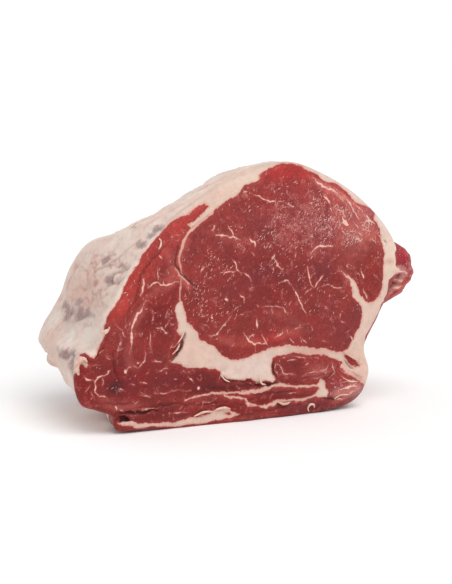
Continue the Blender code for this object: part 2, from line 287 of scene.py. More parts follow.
RIGHT_VEINS = (
    (1.3, (34, 122), (37, 118.5), (38.5, 116)),
    (1.2, (45, 121), (50, 117.5), (54, 112), (57, 107), (58, 104)), (1.4, (28, 131), (36, 126), (44, 121)),
    (1.4, (60, 105), (66, 105), (70, 103)), (0.8, (40, 116), (46, 111), (50, 105)),
    (0.9, (62, 110), (64, 105), (63, 100)), (3.2, (46.6, 107.6), (48.4, 105.4), (50.6, 104.2)),
    (1.6, (60, 113), (65, 109), (70, 104), (73, 99)), (0.7, (30, 129), (40, 125), (50, 119)),
    (0.6, (33, 127), (42, 122), (52, 115), (57, 110)), (0.8, (55, 116), (61, 110), (66, 103)),
    (0.5, (38, 124), (46, 118), (52, 112)), (0.7, (56, 103), (62, 101), (67, 100)),
    (0.5, (66, 103), (68, 98), (68, 94)), (0.6, (51, 108), (55, 104), (58, 100)),
    (0.9, (64, 107), (67, 104), (72, 103)), (0.9, (53, 101), (56, 99), (61, 98)),
    (1.3, (60, 68), (61.6, 64), (63.6, 60.6)), (0.7, (66, 96), (69, 92)),
    (0.9, (4, 30.5), (7, 29), (8.5, 26), (10, 23.8), (17, 23)),
    (0.9, (40, 28), (41, 24), (42, 21), (39, 18.5)), (0.6, (22, 22.5), (28, 23), (40, 22.5)),
    (0.7, (23, 27), (25, 28.5)), (0.5, (12, 30.5), (17, 31)), (0.5, (27, 19), (33, 20)),
    (1.5, (45, 11.6), (49, 12.6), (54, 12.4), (59, 11.2)), (0.9, (44.6, 8.4), (50, 8.2), (56, 9.6)),
    (0.8, (46, 20), (50, 17.4), (55, 15)), (0.7, (41, 5), (46, 6), (50, 5)), (1.0, (58, 14), (61, 12)),
    (0.5, (40, 14), (44, 16)), (0.7, (43, 14.6), (49, 16.2), (55, 15.4), (61, 12.6)),
    (0.5, (47, 12.4), (53, 13.6), (59, 12)), (0.6, (50, 9.2), (56, 9.8), (60, 8.6)),
    (0.5, (52, 19.4), (57, 17), (61, 16)), (0.5, (46, 22.6), (50, 20.4), (53, 17.6)),
    (0.5, (38, 27), (36, 24), (31, 23)), (0.5, (6, 31.6), (4.6, 28), (5, 24), (6.4, 21.4)),
    (0.5, (8, 32.8), (16, 33.2), (24, 31.2), (32, 30.4)),
)  # fmt: skip
fat_strokes = (*FAT_SHEETS, *PLATE_VEINS, *EYE_VEINS, *RIGHT_VEINS)
print(len(fat_strokes), "strokes of fat")

# %% Films and crevices
VEILS = (  # thin films of fat that only tint the lean: width and strength first
    (6, 0.8, (-50, 100), (-55, 92), (-57, 86), (-60, 80), (-66, 76), (-74, 71)),
    (5, 0.9, (-57, 86), (-52, 80), (-49, 76)), (4, 0.8, (-66, 100), (-60, 92), (-58, 84)),
    (5, 0.6, (-75, 70), (-80, 60), (-83, 50)), (3, 0.5, (-40, 105), (-28, 101), (-12, 98)),
    (5, 0.9, (62, 106), (56, 110), (48, 118), (36, 126)),
    (6, 1.7, (27, 132), (36, 127), (46, 122), (54, 116), (61, 112), (66, 108)),
    (8, 1.1, (70, 96), (62, 100), (54, 106)), (6, 0.7, (40, 118), (46, 108), (56, 98), (62, 90)),
    (3, 0.5, (24, 90), (34, 94), (44, 92)), (4, 0.5, (0, 58), (10, 56), (20, 50)),
    (5, 0.7, (45, 8), (55, 12), (62, 12)), (4, 1.0, (40, 3), (46, 4.6), (51, 6.6), (56, 10)),
    (4, 1.4, (43, 8.6), (49, 9.8), (54, 10.4), (60, 13)), (4, 0.6, (-30, 46), (-20, 44), (-4, 42)),
    (4, 0.6, (-85, 46), (-84, 38), (-80, 34)), (3, 0.6, (44, 80), (50, 75), (54, 68)),
    (4, 0.6, (4, 44), (12, 47), (22, 46)), (6, 0.5, (-100, 20), (-88, 14), (-70, 12)),
)  # fmt: skip
VEIN_SHARE = 0.78  # of a stroke's width is full fat, and the rest shades into the lean
SMALL_VEINS = 170
# Their depth also darkens the colour in the material: juice, with painted shade in the gaps
CREVICES = (  # where two pieces part: width and depth first
    (0.9, 1.2, (-51.6, 51), (-53, 45), (-56, 41), (-60, 36.6)),
    (0.8, 0.9, (-55.6, 98), (-56.6, 90), (-55.2, 85), (-52, 81.4), (-48, 78), (-44, 75.4)),
    (2.6, 2.2, (-96, 10.2), (-91.5, 9), (-88, 8), (-85, 7)),
    (1.1, 1.3, (-92, 12), (-84, 11), (-76, 10.9), (-68, 11.6)),
    (0.8, 0.7, (-80, 13), (-66, 13.6), (-54, 13.2)),
    (1.3, 1.3, (-10, 19.6), (-4, 18.6), (1, 17.8), (5, 18.4)), (0.8, 0.7, (48, 27), (51, 24.6), (54, 22.6)),
    (0.8, 0.7, (74.2, 94.4), (76.2, 92.6)),
    (1.1, 0.6, (-59.8, 101.3), (-64.7, 96.2), (-69.9, 91.3), (-76.4, 83.9), (-79.4, 72.8), (-83.4, 66.9),
     (-86.8, 61.5)),
    (0.7, 0.6, (62, 66.6), (64, 64), (66, 62)), (1.0, 1.4, (78.4, 69), (79.6, 66), (81, 64.6)),
    (0.9, 0.9, (-31, 26), (-29, 24.4), (-22, 22.4), (-12, 21.6), (-6, 20.4)),
    (0.5, 0.35, (-58, 35), (-52, 32.4), (-46, 31)), (0.8, 0.8, (3.2, 31), (2.8, 26), (3.8, 21)),
    (0.7, 0.6, (44, 25), (41, 21), (34, 18)), (0.8, 0.9, (33, 8), (40, 6.4), (47, 6.6)),
    (0.9, 0.7, (-104, 41.6), (-99, 47), (-97, 52)), (0.8, 0.6, (-20, 3), (-6, 4.4), (10, 4.6), (26, 6)),
    (0.7, 0.6, (-94, 44), (-93, 36), (-90, 28)), (0.7, 0.5, (-112, 42.4), (-106, 40.4), (-103, 41)),
    (0.35, 0.24, (-3, 37), (0, 33), (1.6, 29)), (0.35, 0.22, (-22, 33), (-21, 28), (-22, 25)),
    (0.35, 0.2, (-38, 42), (-37, 36)), (0.9, 0.7, (-20, 19.6), (-12, 19.4), (-4, 18.0)),
    (0.8, 0.6, (-54, 12.4), (-40, 11.8), (-24, 11.2)), (0.7, 0.7, (-10, 14.0), (4, 13.0), (18, 13.2)),
    (0.8, 0.6, (-100, 17.4), (-90, 16), (-78, 15.6)), (0.7, 0.5, (20, 20.4), (28, 20.6), (36, 21.6)),
)  # fmt: skip
print(len(VEILS), "films and", len(CREVICES), "crevices")


# %% Distances on the cut
OUTLINE_REACH, STROKE_REACH = 6.0, 2.5  # mm: further away than this, a distance isn't worked out
TAPER = 3.2  # a stroke tapers over 1 / TAPER of its length at each end


def inside_outline(points, outline):
    """How far inside a closed outline each point lies, in mm; outside it is negative."""
    outline = np.asarray(outline, float)
    low, high = outline.min(axis=0) - OUTLINE_REACH, outline.max(axis=0) + OUTLINE_REACH
    near = np.nonzero(((points > low) & (points < high)).all(axis=1))[0]
    p, gap, inside = points[near], np.full(len(near), np.inf), np.zeros(len(near), bool)
    for a, b in zip(outline, np.roll(outline, -1, axis=0)):
        run, to = b - a, p - a
        along = np.clip(to @ run / (run @ run), 0, 1)
        gap = np.minimum(gap, np.hypot(*(to - along[:, None] * run).T))
        crosses = (a[1] > p[:, 1]) != (b[1] > p[:, 1])
        if run[1]:
            inside ^= crosses & (to[:, 0] < to[:, 1] * run[0] / run[1])
    found = np.full(len(points), -OUTLINE_REACH)
    found[near] = np.where(inside, gap, -gap)
    return found


def inside_stroke(points, width, path, ends, reach=STROKE_REACH):
    """The same for a stroke of this width, which tapers to the share `ends` of it at both ends."""
    path = smooth_path(path)
    low, high = path.min(axis=0) - reach, path.max(axis=0) + reach
    near = np.nonzero(((points > low) & (points < high)).all(axis=1))[0]
    p, best = points[near], np.full(len(near), -reach)
    lengths = np.linalg.norm(np.diff(path, axis=0), axis=1)
    done = 0.0
    for a, b, length in zip(path[:-1], path[1:], lengths):
        run, to = b - a, p - a
        along = np.clip(to @ run / (run @ run), 0, 1)
        place = (done + along * length) / lengths.sum()
        half = 0.5 * width * (ends + (1 - ends) * np.minimum(1, TAPER * np.minimum(place, 1 - place)))
        best = np.maximum(best, half - np.hypot(*(to - along[:, None] * run).T))
        done += length
    found = np.full(len(points), -reach)
    found[near] = best
    return found


test = np.array([(-40.0, 40.0), (0.0, 80.0)])
print("wedge and eye lie", np.round(inside_outline(test, SEAM_FAT), 1), "mm inside the seam fat")

# %% [markdown]
# Real seams wander. Before any distance is measured, the points themselves are pushed about by a little
# unevenness, so every outline and stroke bends and frays a little without a single extra number in the
# lists above.

# %% What lies where on the cut
FRAY = ((0.75, 7.0, 11), (0.45, 2.2, 12), (0.22, 0.9, 13))  # how far, bump size, seed


def frayed(points):
    moved = np.array(points, float)
    for far, size, seed in FRAY:
        moved[:, 0] += far * uneven(points, size, seed)
        moved[:, 1] += far * uneven(points, size, seed + 50)
    return moved


def fat_at(points):
    """How far inside fat each point of the cut lies, in mm: positive in fat, negative in lean."""
    fat = np.maximum(inside_outline(points, COVER_FAT), inside_outline(points, SEAM_FAT))
    for outline in (FAT_COLUMN, LOWEST_FAT):
        fat = np.maximum(fat, inside_outline(points, outline))
    for width, *path in FAT_SHEETS:
        fat = np.maximum(fat, inside_stroke(points, width, path, ends=0.5, reach=4.0))
    for outline in LEAN_ISLANDS:
        fat = np.minimum(fat, -inside_outline(points, outline))
    return fat


SMALL_VEIN_WIDTH, SMALL_VEIN_STEP, SMALL_VEIN_BEND = (0.3, 0.62), (0.8, 2.0), 0.55  # mm, mm, radians


def small_veins(count, low, high, seed):
    """Short wandering strokes of fine marbling, in the form of the lists above."""
    chance = np.random.default_rng(seed)
    strokes = []
    for _ in range(count):
        path, turn = [chance.uniform(low, high)], chance.uniform(0, 2 * np.pi)
        for _ in range(chance.integers(1, 5)):
            turn += chance.normal(0, SMALL_VEIN_BEND)
            path.append(
                path[-1] + chance.uniform(*SMALL_VEIN_STEP) * np.array((np.cos(turn), np.sin(turn)))
            )
        strokes.append((chance.uniform(*SMALL_VEIN_WIDTH), *path))
    return strokes


def veins_at(points, strokes):
    """How far inside a vein of marbling each point lies, in mm: never more than half a vein's width."""
    inside = np.full(len(points), -STROKE_REACH)
    for width, *path in strokes:
        inside = np.maximum(inside, inside_stroke(points, VEIN_SHARE * width, path, ends=0.2))
    return inside + 0.15 * uneven(points, 2.4, 21) + 0.10 * uneven(points, 0.9, 22)


def films_at(points):
    """How much a thin film of fat tints the lean at each point, from 0 to 1."""
    film = np.zeros(len(points))
    torn = 0.5 + 0.5 * smooth_step(rough(points, 4.5, 25), -0.4, 0.3)
    for width, strength, *path in VEILS:
        inside = inside_stroke(points, width, path, ends=0.3, reach=5.0)
        film = np.maximum(film, strength * smooth_step(inside, -2.5, 1.5))
    return film * torn


def crevices_at(points):
    """How deep the crevices are at each point, in mm."""
    depth = np.zeros(len(points))
    for width, deep, *path in CREVICES:
        inside = inside_stroke(points, width, path, ends=0.2)
        depth = np.maximum(depth, deep * smooth_step(inside, -0.9, 0.5))
    return depth


ALL_VEINS = (*PLATE_VEINS, *EYE_VEINS, *RIGHT_VEINS, *small_veins(SMALL_VEINS, (-112, 3), (72, 136), 23))
print("fat at the wedge:", np.round(fat_at(test), 1)[0], "mm inside")

# %% [markdown]
# ## Colours
# Lean is red because of the myoglobin in it. It is brightest where the cut met air first, at the strip
# beside the flank and along the crest, and darkest in the working muscles at the bottom. Fat is cream,
# and pinker where it is thin enough for the meat to show through. Each colour is a hex value in sRGB, as
# a paint chart gives it, and one function turns it to the linear values that light adds up in. Soft spots
# then tint one region into the next.
# Two of the spots are painted shade: a shadow under the wedge's lower edge and the shade in a hollow.


# %% sRGB to linear
def linear(hex_colour):
    """The linear red, green and blue of an sRGB hex colour."""
    srgb = np.array([int(hex_colour[k : k + 2], 16) for k in (1, 3, 5)]) / 255
    return np.where(srgb <= 0.04045, srgb / 12.92, ((srgb + 0.055) / 1.055) ** 2.4)


print("white is", linear("#FFFFFF"), "in linear light")

# %% Colours of the cut
LEAN, CUT_FAT, COVER = "#882E29", "#D6BCAD", "#E6D2C6"
# Lean, from where air has brightened it to where juice lies in it; the two darkest, at the end, are painted
# shade: a shadow under the wedge's lower edge and the shade in a hollow
STRIP_RED, BRIGHT_RED, WARM_RED, EYE_RED = "#AE3831", "#AB2E2C", "#912A25", "#842A28"
BROWN_RED, DARK_EYE, PLATE_RED, RIB_RED = "#852019", "#7A1F1E", "#761414", "#700E09"
DEEP_RED, PURPLE_RED, SHADED_RED, SHADED_POCKET = "#661313", "#6A1A2B", "#4D0B0C", "#380E14"
# Lean under thin fat, from a haze to nearly covered
HAZE, FILMED_RED, FILMED, VEILED = "#8B363A", "#AA4642", "#A75B56", "#BC6462"
PINK_FILM, GREY_FILM = "#C08C84", "#A88480"
# Fat, from thick to thin enough for the meat to show; the first, the lip's cream, is also a painted highlight
# on the raised rim
LIP_CREAM_AND_HIGHLIGHT, CREAM, GREY_CREAM, PINK_CREAM, PINK_FAT = "#EAD9CC", "#E1C8B6", "#DBC4BB", "#DAB7A8", "#CC9B8C"
LEAN_SPOTS = (  # x, z, reach in x, reach in z, colour, strength
    (0, 74, 30, 24, DARK_EYE, 0.8), (-38, 90, 14, 18, EYE_RED, 0.8), (-36, 62, 12, 12, WARM_RED, 0.5),
    (-12, 41, 18, 5, BROWN_RED, 0.7), (38, 48, 22, 12, EYE_RED, 0.6), (25, 108, 36, 15, HAZE, 0.85),
    (0, 121, 34, 7, WARM_RED, 0.5), (10, 136, 26, 6, BRIGHT_RED, 0.9), (64, 112, 7, 8, VEILED, 0.9),
    (60, 101, 12, 14, FILMED, 0.8), (44, 124, 14, 6, FILMED_RED, 0.85), (35, 75, 12, 7, DARK_EYE, 0.6),
    (66, 80, 9, 18, BROWN_RED, 0.7), (-66, 62, 14, 18, PLATE_RED, 0.85), (-88, 28, 22, 14, PLATE_RED, 0.85),
    (-50, 26, 30, 9, DEEP_RED, 0.9), (-34, 22, 12, 5, DEEP_RED, 0.6), (-70, 8, 30, 6, DEEP_RED, 0.7),
    (-8, 10, 30, 6, RIB_RED, 0.85), (14, 26, 16, 8, DARK_EYE, 0.7), (32, 22.6, 7, 3.4, FILMED, 0.7),
    (50, 12, 14, 9, HAZE, 0.8), (49, 9, 9, 3.2, GREY_FILM, 0.8), (57, 11.5, 4, 3.4, PINK_FILM, 0.75),
    # painted shade: the dark spot at x -92.4 in a hollow, and the band at z 18.6 under the wedge's edge
    (-92.4, 25.5, 5, 4, SHADED_POCKET, 0.9), (-112, 34, 6, 12, PLATE_RED, 0.8), (-110, 45, 6, 3, PURPLE_RED, 0.8),
    (-108, 24, 6, 7, PLATE_RED, 0.8), (2, 43.6, 13, 2.8, BRIGHT_RED, 0.7),
    (-20, 18.6, 30, 2.4, SHADED_RED, 0.75), (54, 19, 8, 5, BROWN_RED, 0.7), (30, 3, 26, 4, DEEP_RED, 0.75),
)  # fmt: skip
# the pale lip along the flank's edge of the cut: thicker fat, and a painted highlight where the raised rim
# catches the light
PALE_LIP_AND_HIGHLIGHT = (
    3.5, (-64, 107), (-75, 96.5), (-84, 85), (-90, 72), (-98, 63), (-99.5, 54), (-102, 47), (-112, 43),
)  # fmt: skip
BRIGHT_STRIP = (13, (-40, 118), (-56, 109), (-69, 96), (-80, 80), (-87, 70), (-92, 63))
FAT_SPOTS = (
    (-10, 130, 16, 6, CREAM, 0.8), (-30, 124, 12, 5, PINK_CREAM, 0.5), (-48, 40, 12, 10, PINK_CREAM, 0.7),
    (-10, 29, 20, 6, GREY_CREAM, 0.8), (28, 35, 18, 3, PINK_FAT, 0.7), (79, 88, 8, 12, CREAM, 0.8),
    (68, 56, 8, 8, PINK_CREAM, 0.6), (62, 26, 10, 14, PINK_CREAM, 0.8), (-40, 4, 30, 4, PINK_CREAM, 0.6),
    (5, 16, 20, 3, PINK_FAT, 0.5), (-54, 90, 4, 14, PINK_FAT, 0.6), (78, 82, 4, 1.6, PINK_FAT, 0.8),
    (46, 126, 20, 8, GREY_CREAM, 0.8), (56, 10, 8, 6, PINK_FAT, 0.5), (72, 104, 6, 6, GREY_CREAM, 0.8),
)  # fmt: skip


def spotted(points, base, spots):
    """A colour for each point: `base`, tinted by soft spots."""
    colour = np.tile(linear(base), (len(points), 1))
    for *place, tint, strength in spots:
        n = points.shape[1]
        away = (((points - place[:n]) / place[n:]) ** 2).sum(axis=1)
        share = (strength * np.exp(-away))[:, None]
        colour = colour * (1 - share) + linear(tint) * share
    return colour


def fat_colour(points):
    colour = spotted(points, CUT_FAT, FAT_SPOTS)
    width, *path = PALE_LIP_AND_HIGHLIGHT
    share = 0.8 * smooth_step(inside_stroke(points, width, path, ends=0.5, reach=8), -2, 1)[:, None]
    return colour * (1 - share) + linear(LIP_CREAM_AND_HIGHLIGHT) * share


def lean_colour(points):
    colour = spotted(points, LEAN, LEAN_SPOTS)
    width, *path = BRIGHT_STRIP
    share = 0.9 * smooth_step(inside_stroke(points, width, path, ends=0.4, reach=8), -4, 3)[:, None]
    return colour * (1 - share) + linear(STRIP_RED) * share


print("lean is", np.round(linear(LEAN), 3), "in linear light")

# %% [markdown]
# ## How the surface swells and sinks
# A knife leaves a cut flat, but meat relaxes afterwards. Each muscle swells a little between its seams,
# fat keeps its edge, and crevices open where two layers part. The distance to the nearest seam is already
# known, so the swell is a curve of that distance: steep beside the seam, level in the middle of a large
# muscle.

# %% Relief of the cuts
LEAN_SWELL, SWELL_REACH = 1.2, 3.2
VEIN_RISE = 0.15
CREST_LEAN, CREST_FROM, CREST_OVER = 9.0, 95.0, 60.0
TIP_FALL, TIP_FROM, TIP_OVER = 7.0, -85.0, 40.0
RIB_SIDE_OUT, RIB_SIDE_BELOW = 2.5, 30.0
BACK_SWELL, BACK_SWELL_AT, BACK_SWELL_REACH = 2.5, (8.0, 62.0), (55.0, 45.0)
LOOSE_FROM, LOOSE_OVER = 38, 20  # the layers at the bottom of the cut lie looser
WAVE, WAVE_SIZE = 0.4, 13
RIPPLE, RIPPLE_SIZE = 0.14, 2.6


def front_relief(points):
    """How far the front cut stands behind its plane: at the crest and the flank's tip it falls away."""
    x, z = points.T
    crest = CREST_LEAN * smooth_step((z - CREST_FROM) / CREST_OVER)
    tip = TIP_FALL * smooth_step((TIP_FROM - x) / TIP_OVER)
    rib_side = -RIB_SIDE_OUT * smooth_step((RIB_SIDE_BELOW - z) / RIB_SIDE_BELOW)
    return crest + tip + rib_side


def back_relief(points):
    """How far the back cut stands behind its plane: it bulges a little in the middle."""
    (x, z), (at_x, at_z), (reach_x, reach_z) = points.T, BACK_SWELL_AT, BACK_SWELL_REACH
    return -BACK_SWELL * np.exp(-(((x - at_x) / reach_x) ** 2) - ((z - at_z) / reach_z) ** 2)


def cut_sink(points, fat, vein, crevice, seed):
    """How far the finer relief lies behind the cut's large form, in mm."""
    swell = LEAN_SWELL * (1 - np.exp(np.minimum(fat, 0) / SWELL_REACH))
    loose = smooth_step(LOOSE_FROM - points[:, 1], 0, LOOSE_OVER)
    wavy = (WAVE + WAVE * loose) * rough(points, WAVE_SIZE, seed)
    wavy += (RIPPLE + RIPPLE * loose) * rough(points, RIPPLE_SIZE, seed + 9)
    return crevice - (1 + 0.8 * loose) * swell - VEIN_RISE * smooth_step(vein, -0.5, 0.3) + wavy


print("the crest leans back", round(float(front_relief(np.array([(12.0, 141.0)]))[0]), 1), "mm")

# %% [markdown]
# ## A mesh that is fine where the drawing is
# Lines of marbling are half a millimetre wide, and points that close all over would make a heavy mesh. So
# the points of a cut come from a triangle lattice: all of them near a seam or a vein, and only every
# second row and column in plain lean. Blender's constrained Delaunay triangulation joins them and keeps
# the rim's own edges.

# %% The rim and the lattice of a cut
AROUND = 540  # points round the rim: about 1 mm apart
FRONT_SPACING, BACK_SPACING = 0.47, 0.75
ROW_SHARE = 0.866  # the rows of an even triangle lattice lie this share of its spacing apart
RIM_CLEAR = 0.75  # no lattice point comes closer to the rim's points
WITHIN, NEAR_RIM = 0.997, 0.9  # the lattice ends, and looks at RIM_CLEAR, at these shares of the way out
SEAM_DETAIL, VEIN_DETAIL, CREVICE_DETAIL = 0.8, -0.42, 0.1  # mm from a seam, inside a vein, deep
BACK_SEAM_DETAIL = 1.2


class Rim:
    """The inner edge of a cut's rounding, seen as a distance from the cut's centre in every direction."""

    def __init__(self, outline, centre, places):
        self.centre, self.places = centre, places
        self.points = centre + (smooth_loop(outline, places) - centre) * (1 - EDGE_ROUND / CUT_HALF_WIDTH)
        out = self.points - centre
        self.turn = np.unwrap(np.arctan2(out[:, 1], out[:, 0]))  # the outlines run clockwise
        self.reach = np.hypot(*out.T)

    def share_and_place(self, points):
        """How far out each point is, 1 on the rim, and its place along the outline."""
        out = points - self.centre
        turn = np.arctan2(out[:, 1], out[:, 0])
        turn = self.turn[0] - (self.turn[0] - turn) % (2 * np.pi)
        turns = np.append(self.turn, self.turn[0] - 2 * np.pi)[::-1]
        reach = np.interp(turn, turns, np.append(self.reach, self.reach[0])[::-1])
        place = np.interp(turn, turns, np.append(self.places, LANDMARKS)[::-1])
        return np.hypot(*out.T) / reach, place


def cut_lattice(rim, spacing, detailed):
    """Lattice points inside the rim, every one where `detailed` says so and one in four elsewhere."""
    low, high = rim.points.min(axis=0), rim.points.max(axis=0)
    row = spacing * ROW_SHARE
    j, i = np.indices((int((high[1] - low[1]) / row) + 2, int((high[0] - low[0]) / spacing) + 2))
    x, z = low[0] + spacing * (i + 0.5 * (j % 2)), low[1] + row * j
    points = np.column_stack([x.ravel(), z.ravel()])
    coarse = ((j % 2 == 0) & ((i - j // 2) % 2 == 0)).ravel()
    share, _ = rim.share_and_place(points)
    inside = share < WITHIN
    points, coarse, share = points[inside], coarse[inside], share[inside]
    gap = np.full(len(points), np.inf)
    outer = np.nonzero(share > NEAR_RIM)[0]
    for some in np.array_split(outer, 1 + len(outer) // 4000):  # a few thousand at once, to spare memory
        gap[some] = np.linalg.norm(points[some, None] - rim.points, axis=2).min(axis=1)
    keep = (gap > RIM_CLEAR) & (coarse | detailed(points))
    return points[keep]


def triangulate(rim, inner):
    """Triangles between the rim's points and the inner ones, as indices into both together."""
    points = np.vstack([rim.points, inner])
    loop = [(k, (k + 1) % len(rim.points)) for k in range(len(rim.points))]
    flat_points = [Vector(p) for p in points]
    verts, _, faces, origins, _, _ = geometry.delaunay_2d_cdt(flat_points, loop, [], 1, 1e-5)
    if len(verts) != len(points):
        raise ValueError(f"{len(points)} points went in and {len(verts)} came out")
    first = np.array([o[0] for o in origins])
    return first[np.array(faces)]


def front_detail(points):
    p = frayed(points)
    near_seam = np.abs(fat_at(p)) < SEAM_DETAIL
    near_vein = veins_at(p, ALL_VEINS) > VEIN_DETAIL
    return near_seam | near_vein | (crevices_at(p) > CREVICE_DETAIL)


places = spread_places(FRONT_OUTLINE, AROUND)
front_rim = Rim(FRONT_OUTLINE, LOIN_CENTRE_FRONT, places)
back_rim = Rim(BACK_OUTLINE, LOIN_CENTRE_BACK, places)
front_inner = cut_lattice(front_rim, FRONT_SPACING, front_detail)
front_faces = triangulate(front_rim, front_inner)
print(len(front_inner), "points and", len(front_faces), "triangles on the front cut")


# %% [markdown]
# The same muscles run right through the roast, so the back cut shows the same seams in the back cut's
# outline. A point there is looked up by its direction and its share of the way out, and the same place on
# the front cut says what lies there. Its marbling is its own: veins are short, and none runs from one cut
# to the other.

# %% The back cut
BACK_WANDER = 3  # mm that the seams move on their way to the back cut


def same_place_in_front(points):
    share, place = back_rim.share_and_place(points)
    rim = smooth_loop(FRONT_OUTLINE, place) - LOIN_CENTRE_FRONT
    return LOIN_CENTRE_FRONT + rim * (share * (1 - EDGE_ROUND / CUT_HALF_WIDTH))[:, None]


def back_detail(points):
    moved = same_place_in_front(points) + BACK_WANDER * rough(points, 12, 70)[:, None]
    return np.abs(fat_at(frayed(moved))) < BACK_SEAM_DETAIL


back_inner = cut_lattice(back_rim, BACK_SPACING, back_detail)
back_faces = triangulate(back_rim, back_inner)
print(len(back_inner), "points and", len(back_faces), "triangles on the back cut")

# %% [markdown]
# ## The sides
# Between the cuts the sides are rings, closer together near the front, where the lobe starts. Each ring
# is the same run of places along the outline, so one grid covers the sides and both rounded edges. Broad
# swells and hollows give the flank its slope, and finer unevenness follows once the mesh knows which way
# each point faces.

# %% Rings
ALONG, CLOSER_IN_FRONT = 64, 1.15
ON_EDGE = 5
LOBE_CENTRE_Y, LOBE_CENTRE_Z = -34.0, 73.0
LOBE_OUT, LOBE_FULLNESS = 16.6, 1.4
LOBE_REACH_FRONT, LOBE_REACH_BACK, LOBE_REACH_Z = 15.0, 36.0, 21.0
SHOULDER_AFTER = 6.0  # mm above the lobe's centre, its bulge turns into a quarter of an ellipse
SWELLS = (
    (-108.0, -14.0, 54.0, 20.0, 2.5), (-80.0, 10.0, 84.0, 24.0, 2.0), (-94.0, -8.0, 70.0, 12.0, -2.0),
    (-12.0, -22.0, 132.0, 22.0, 3.0), (-50.0, 28.0, 98.0, 16.0, -2.5), (-112.0, -28.0, 22.0, 16.0, -2.0),
    (70.0, 22.0, 62.0, 18.0, 3.0), (64.0, 0.0, 34.0, 14.0, -2.0), (-102.0, 12.0, 53.0, 7.0, 1.2),
    (-107.0, 4.0, 32.0, 6.5, 3.2), (-106.0, 6.0, 42.0, 6.0, -1.2), (-105.0, 0.0, 20.0, 9.0, -4.5),
)  # fmt: skip


def lobe_share(ring):
    reach = np.where(ring[:, 1] < LOBE_CENTRE_Y, LOBE_REACH_FRONT, LOBE_REACH_BACK)
    away = ((ring[:, 1] - LOBE_CENTRE_Y) / reach) ** 2 + ((ring[:, 2] - LOBE_CENTRE_Z) / LOBE_REACH_Z) ** 2
    inside = np.clip(1 - away, 0, 1)
    shoulder = smooth_step((ring[:, 2] - LOBE_CENTRE_Z) / SHOULDER_AFTER)
    bulge = smooth_step(LOBE_FULLNESS * inside) * (1 - shoulder) + np.sqrt(inside) * shoulder
    return (ring[:, 0] > LOIN_CENTRE_BACK[0]) * bulge


def swell(ring, t):
    """Adds the crown, the swells and the lobe to a ring a share t of the way to the back cut."""
    out = (ring - ring.mean(axis=0)) * (1, 0, 1)
    out /= np.linalg.norm(out, axis=1)[:, None]
    clear_of_table = smooth_step((ring[:, 2] - CROWN_FROM) / CROWN_FULL_AFTER)
    ring = ring + out * (FLANK_CROWN * np.sin(np.pi * t) * clear_of_table)[:, None]
    for x, y, z, size, height in SWELLS:
        ring += out * (height * np.exp(-((ring - (x, y, z)) ** 2).sum(axis=1) / size**2))[:, None]
    lobe = lobe_share(ring)
    ring[:, 0] += LOBE_OUT * lobe
    return ring, lobe


def front_place(points, sink):
    """Where a point of the cut's drawing lies in the roast, `sink` behind the cut's large form."""
    depth = front_relief(points) + sink
    return np.column_stack(
        [points[:, 0] + GRAIN_X * depth, FRONT_Y + depth, points[:, 1] + GRAIN_Z * depth]
    )


def back_place(points, sink):
    return np.column_stack([points[:, 0], BACK_Y - back_relief(points) - sink, points[:, 1]])


def edge_rings(outline, centre, place, relief):
    """Rings over a cut's rounded edge: (points on the drawing, points in the roast), rim first."""
    rings = []
    for angle in np.linspace(0, np.pi / 2, ON_EDGE + 1):
        share = 1 - EDGE_ROUND * (1 - np.sin(angle)) / CUT_HALF_WIDTH
        drawn = centre + (smooth_loop(outline, places) - centre) * share
        rings.append((drawn, place(drawn, EDGE_ROUND * (1 - np.cos(angle)) + relief * np.cos(angle))))
    return rings


print("the lobe stands out", LOBE_OUT, "mm")

# %% Look at the cuts' points once, and place them
COVER_THICK, COVER_LESS = 6.5, 1.5  # the cover fat at the back cut's rim
COVER_FROM, COVER_TO = (2.6, 4.5), (14, 18.5)  # it fades in and out here, counted in landmarks
front_flat = np.vstack([front_rim.points, front_inner])
front_fray = frayed(front_flat)
front_fat = fat_at(front_fray) + 0.2 * rough(front_flat, 1.6, 31)
front_vein = veins_at(front_fray, ALL_VEINS)
front_crevice = crevices_at(front_fray)
front_sink = cut_sink(front_flat, front_fat, front_vein, front_crevice, 40)

back_flat = np.vstack([back_rim.points, back_inner])
back_wander = np.column_stack([rough(back_flat, 14, 60), rough(back_flat, 14, 65)])
back_same = frayed(same_place_in_front(back_flat) + BACK_WANDER * back_wander)
back_share, back_place_on_rim = back_rim.share_and_place(back_flat)
from_rim = (1 - back_share) * np.linalg.norm(back_flat - LOIN_CENTRE_BACK, axis=1)
cover_thick = COVER_THICK * smooth_step(back_place_on_rim, *COVER_FROM)
cover_thick = cover_thick * (1 - smooth_step(back_place_on_rim, *COVER_TO)) - COVER_LESS
back_fat = np.maximum(fat_at(back_same), cover_thick + 2.0 * rough(back_flat, 16, 33) - from_rim)
back_fat += 0.5 * rough(back_flat, 2.4, 32)
back_sink = cut_sink(back_flat, back_fat, -STROKE_REACH, 0, 45)

front_edge = edge_rings(FRONT_OUTLINE, LOIN_CENTRE_FRONT, front_place, front_sink[:AROUND])
back_edge = edge_rings(BACK_OUTLINE, LOIN_CENTRE_BACK, back_place, back_sink[:AROUND])
print("relief of the front cut:", round(float(np.ptp(front_sink)), 1), "mm")

# %% Every ring from rim to rim
side_t = (np.arange(1, ALONG) / ALONG) ** CLOSER_IN_FRONT
start, end = front_edge[-1][1], back_edge[-1][1]
rings = [ring for _, ring in front_edge[:-1]]
ring_lobe = [np.zeros(AROUND)] * ON_EDGE
for t in (0.0, *side_t, 1.0):
    ring = start + (end - start) * t
    ring[:, (0, 2)] = (start + (end - start) * (0.5 * t + 0.5 * smooth_step(t)))[:, (0, 2)]
    ring, lobe = swell(ring, t)
    rings.append(ring)
    ring_lobe.append(lobe)
rings += [ring for _, ring in back_edge[-2::-1]]
ring_lobe += [np.zeros(AROUND)] * ON_EDGE
side = np.vstack(rings)
side_place = np.tile(places, len(rings))
side_lobe = np.concatenate(ring_lobe)
print(len(rings), "rings,", len(side), "points on the sides")
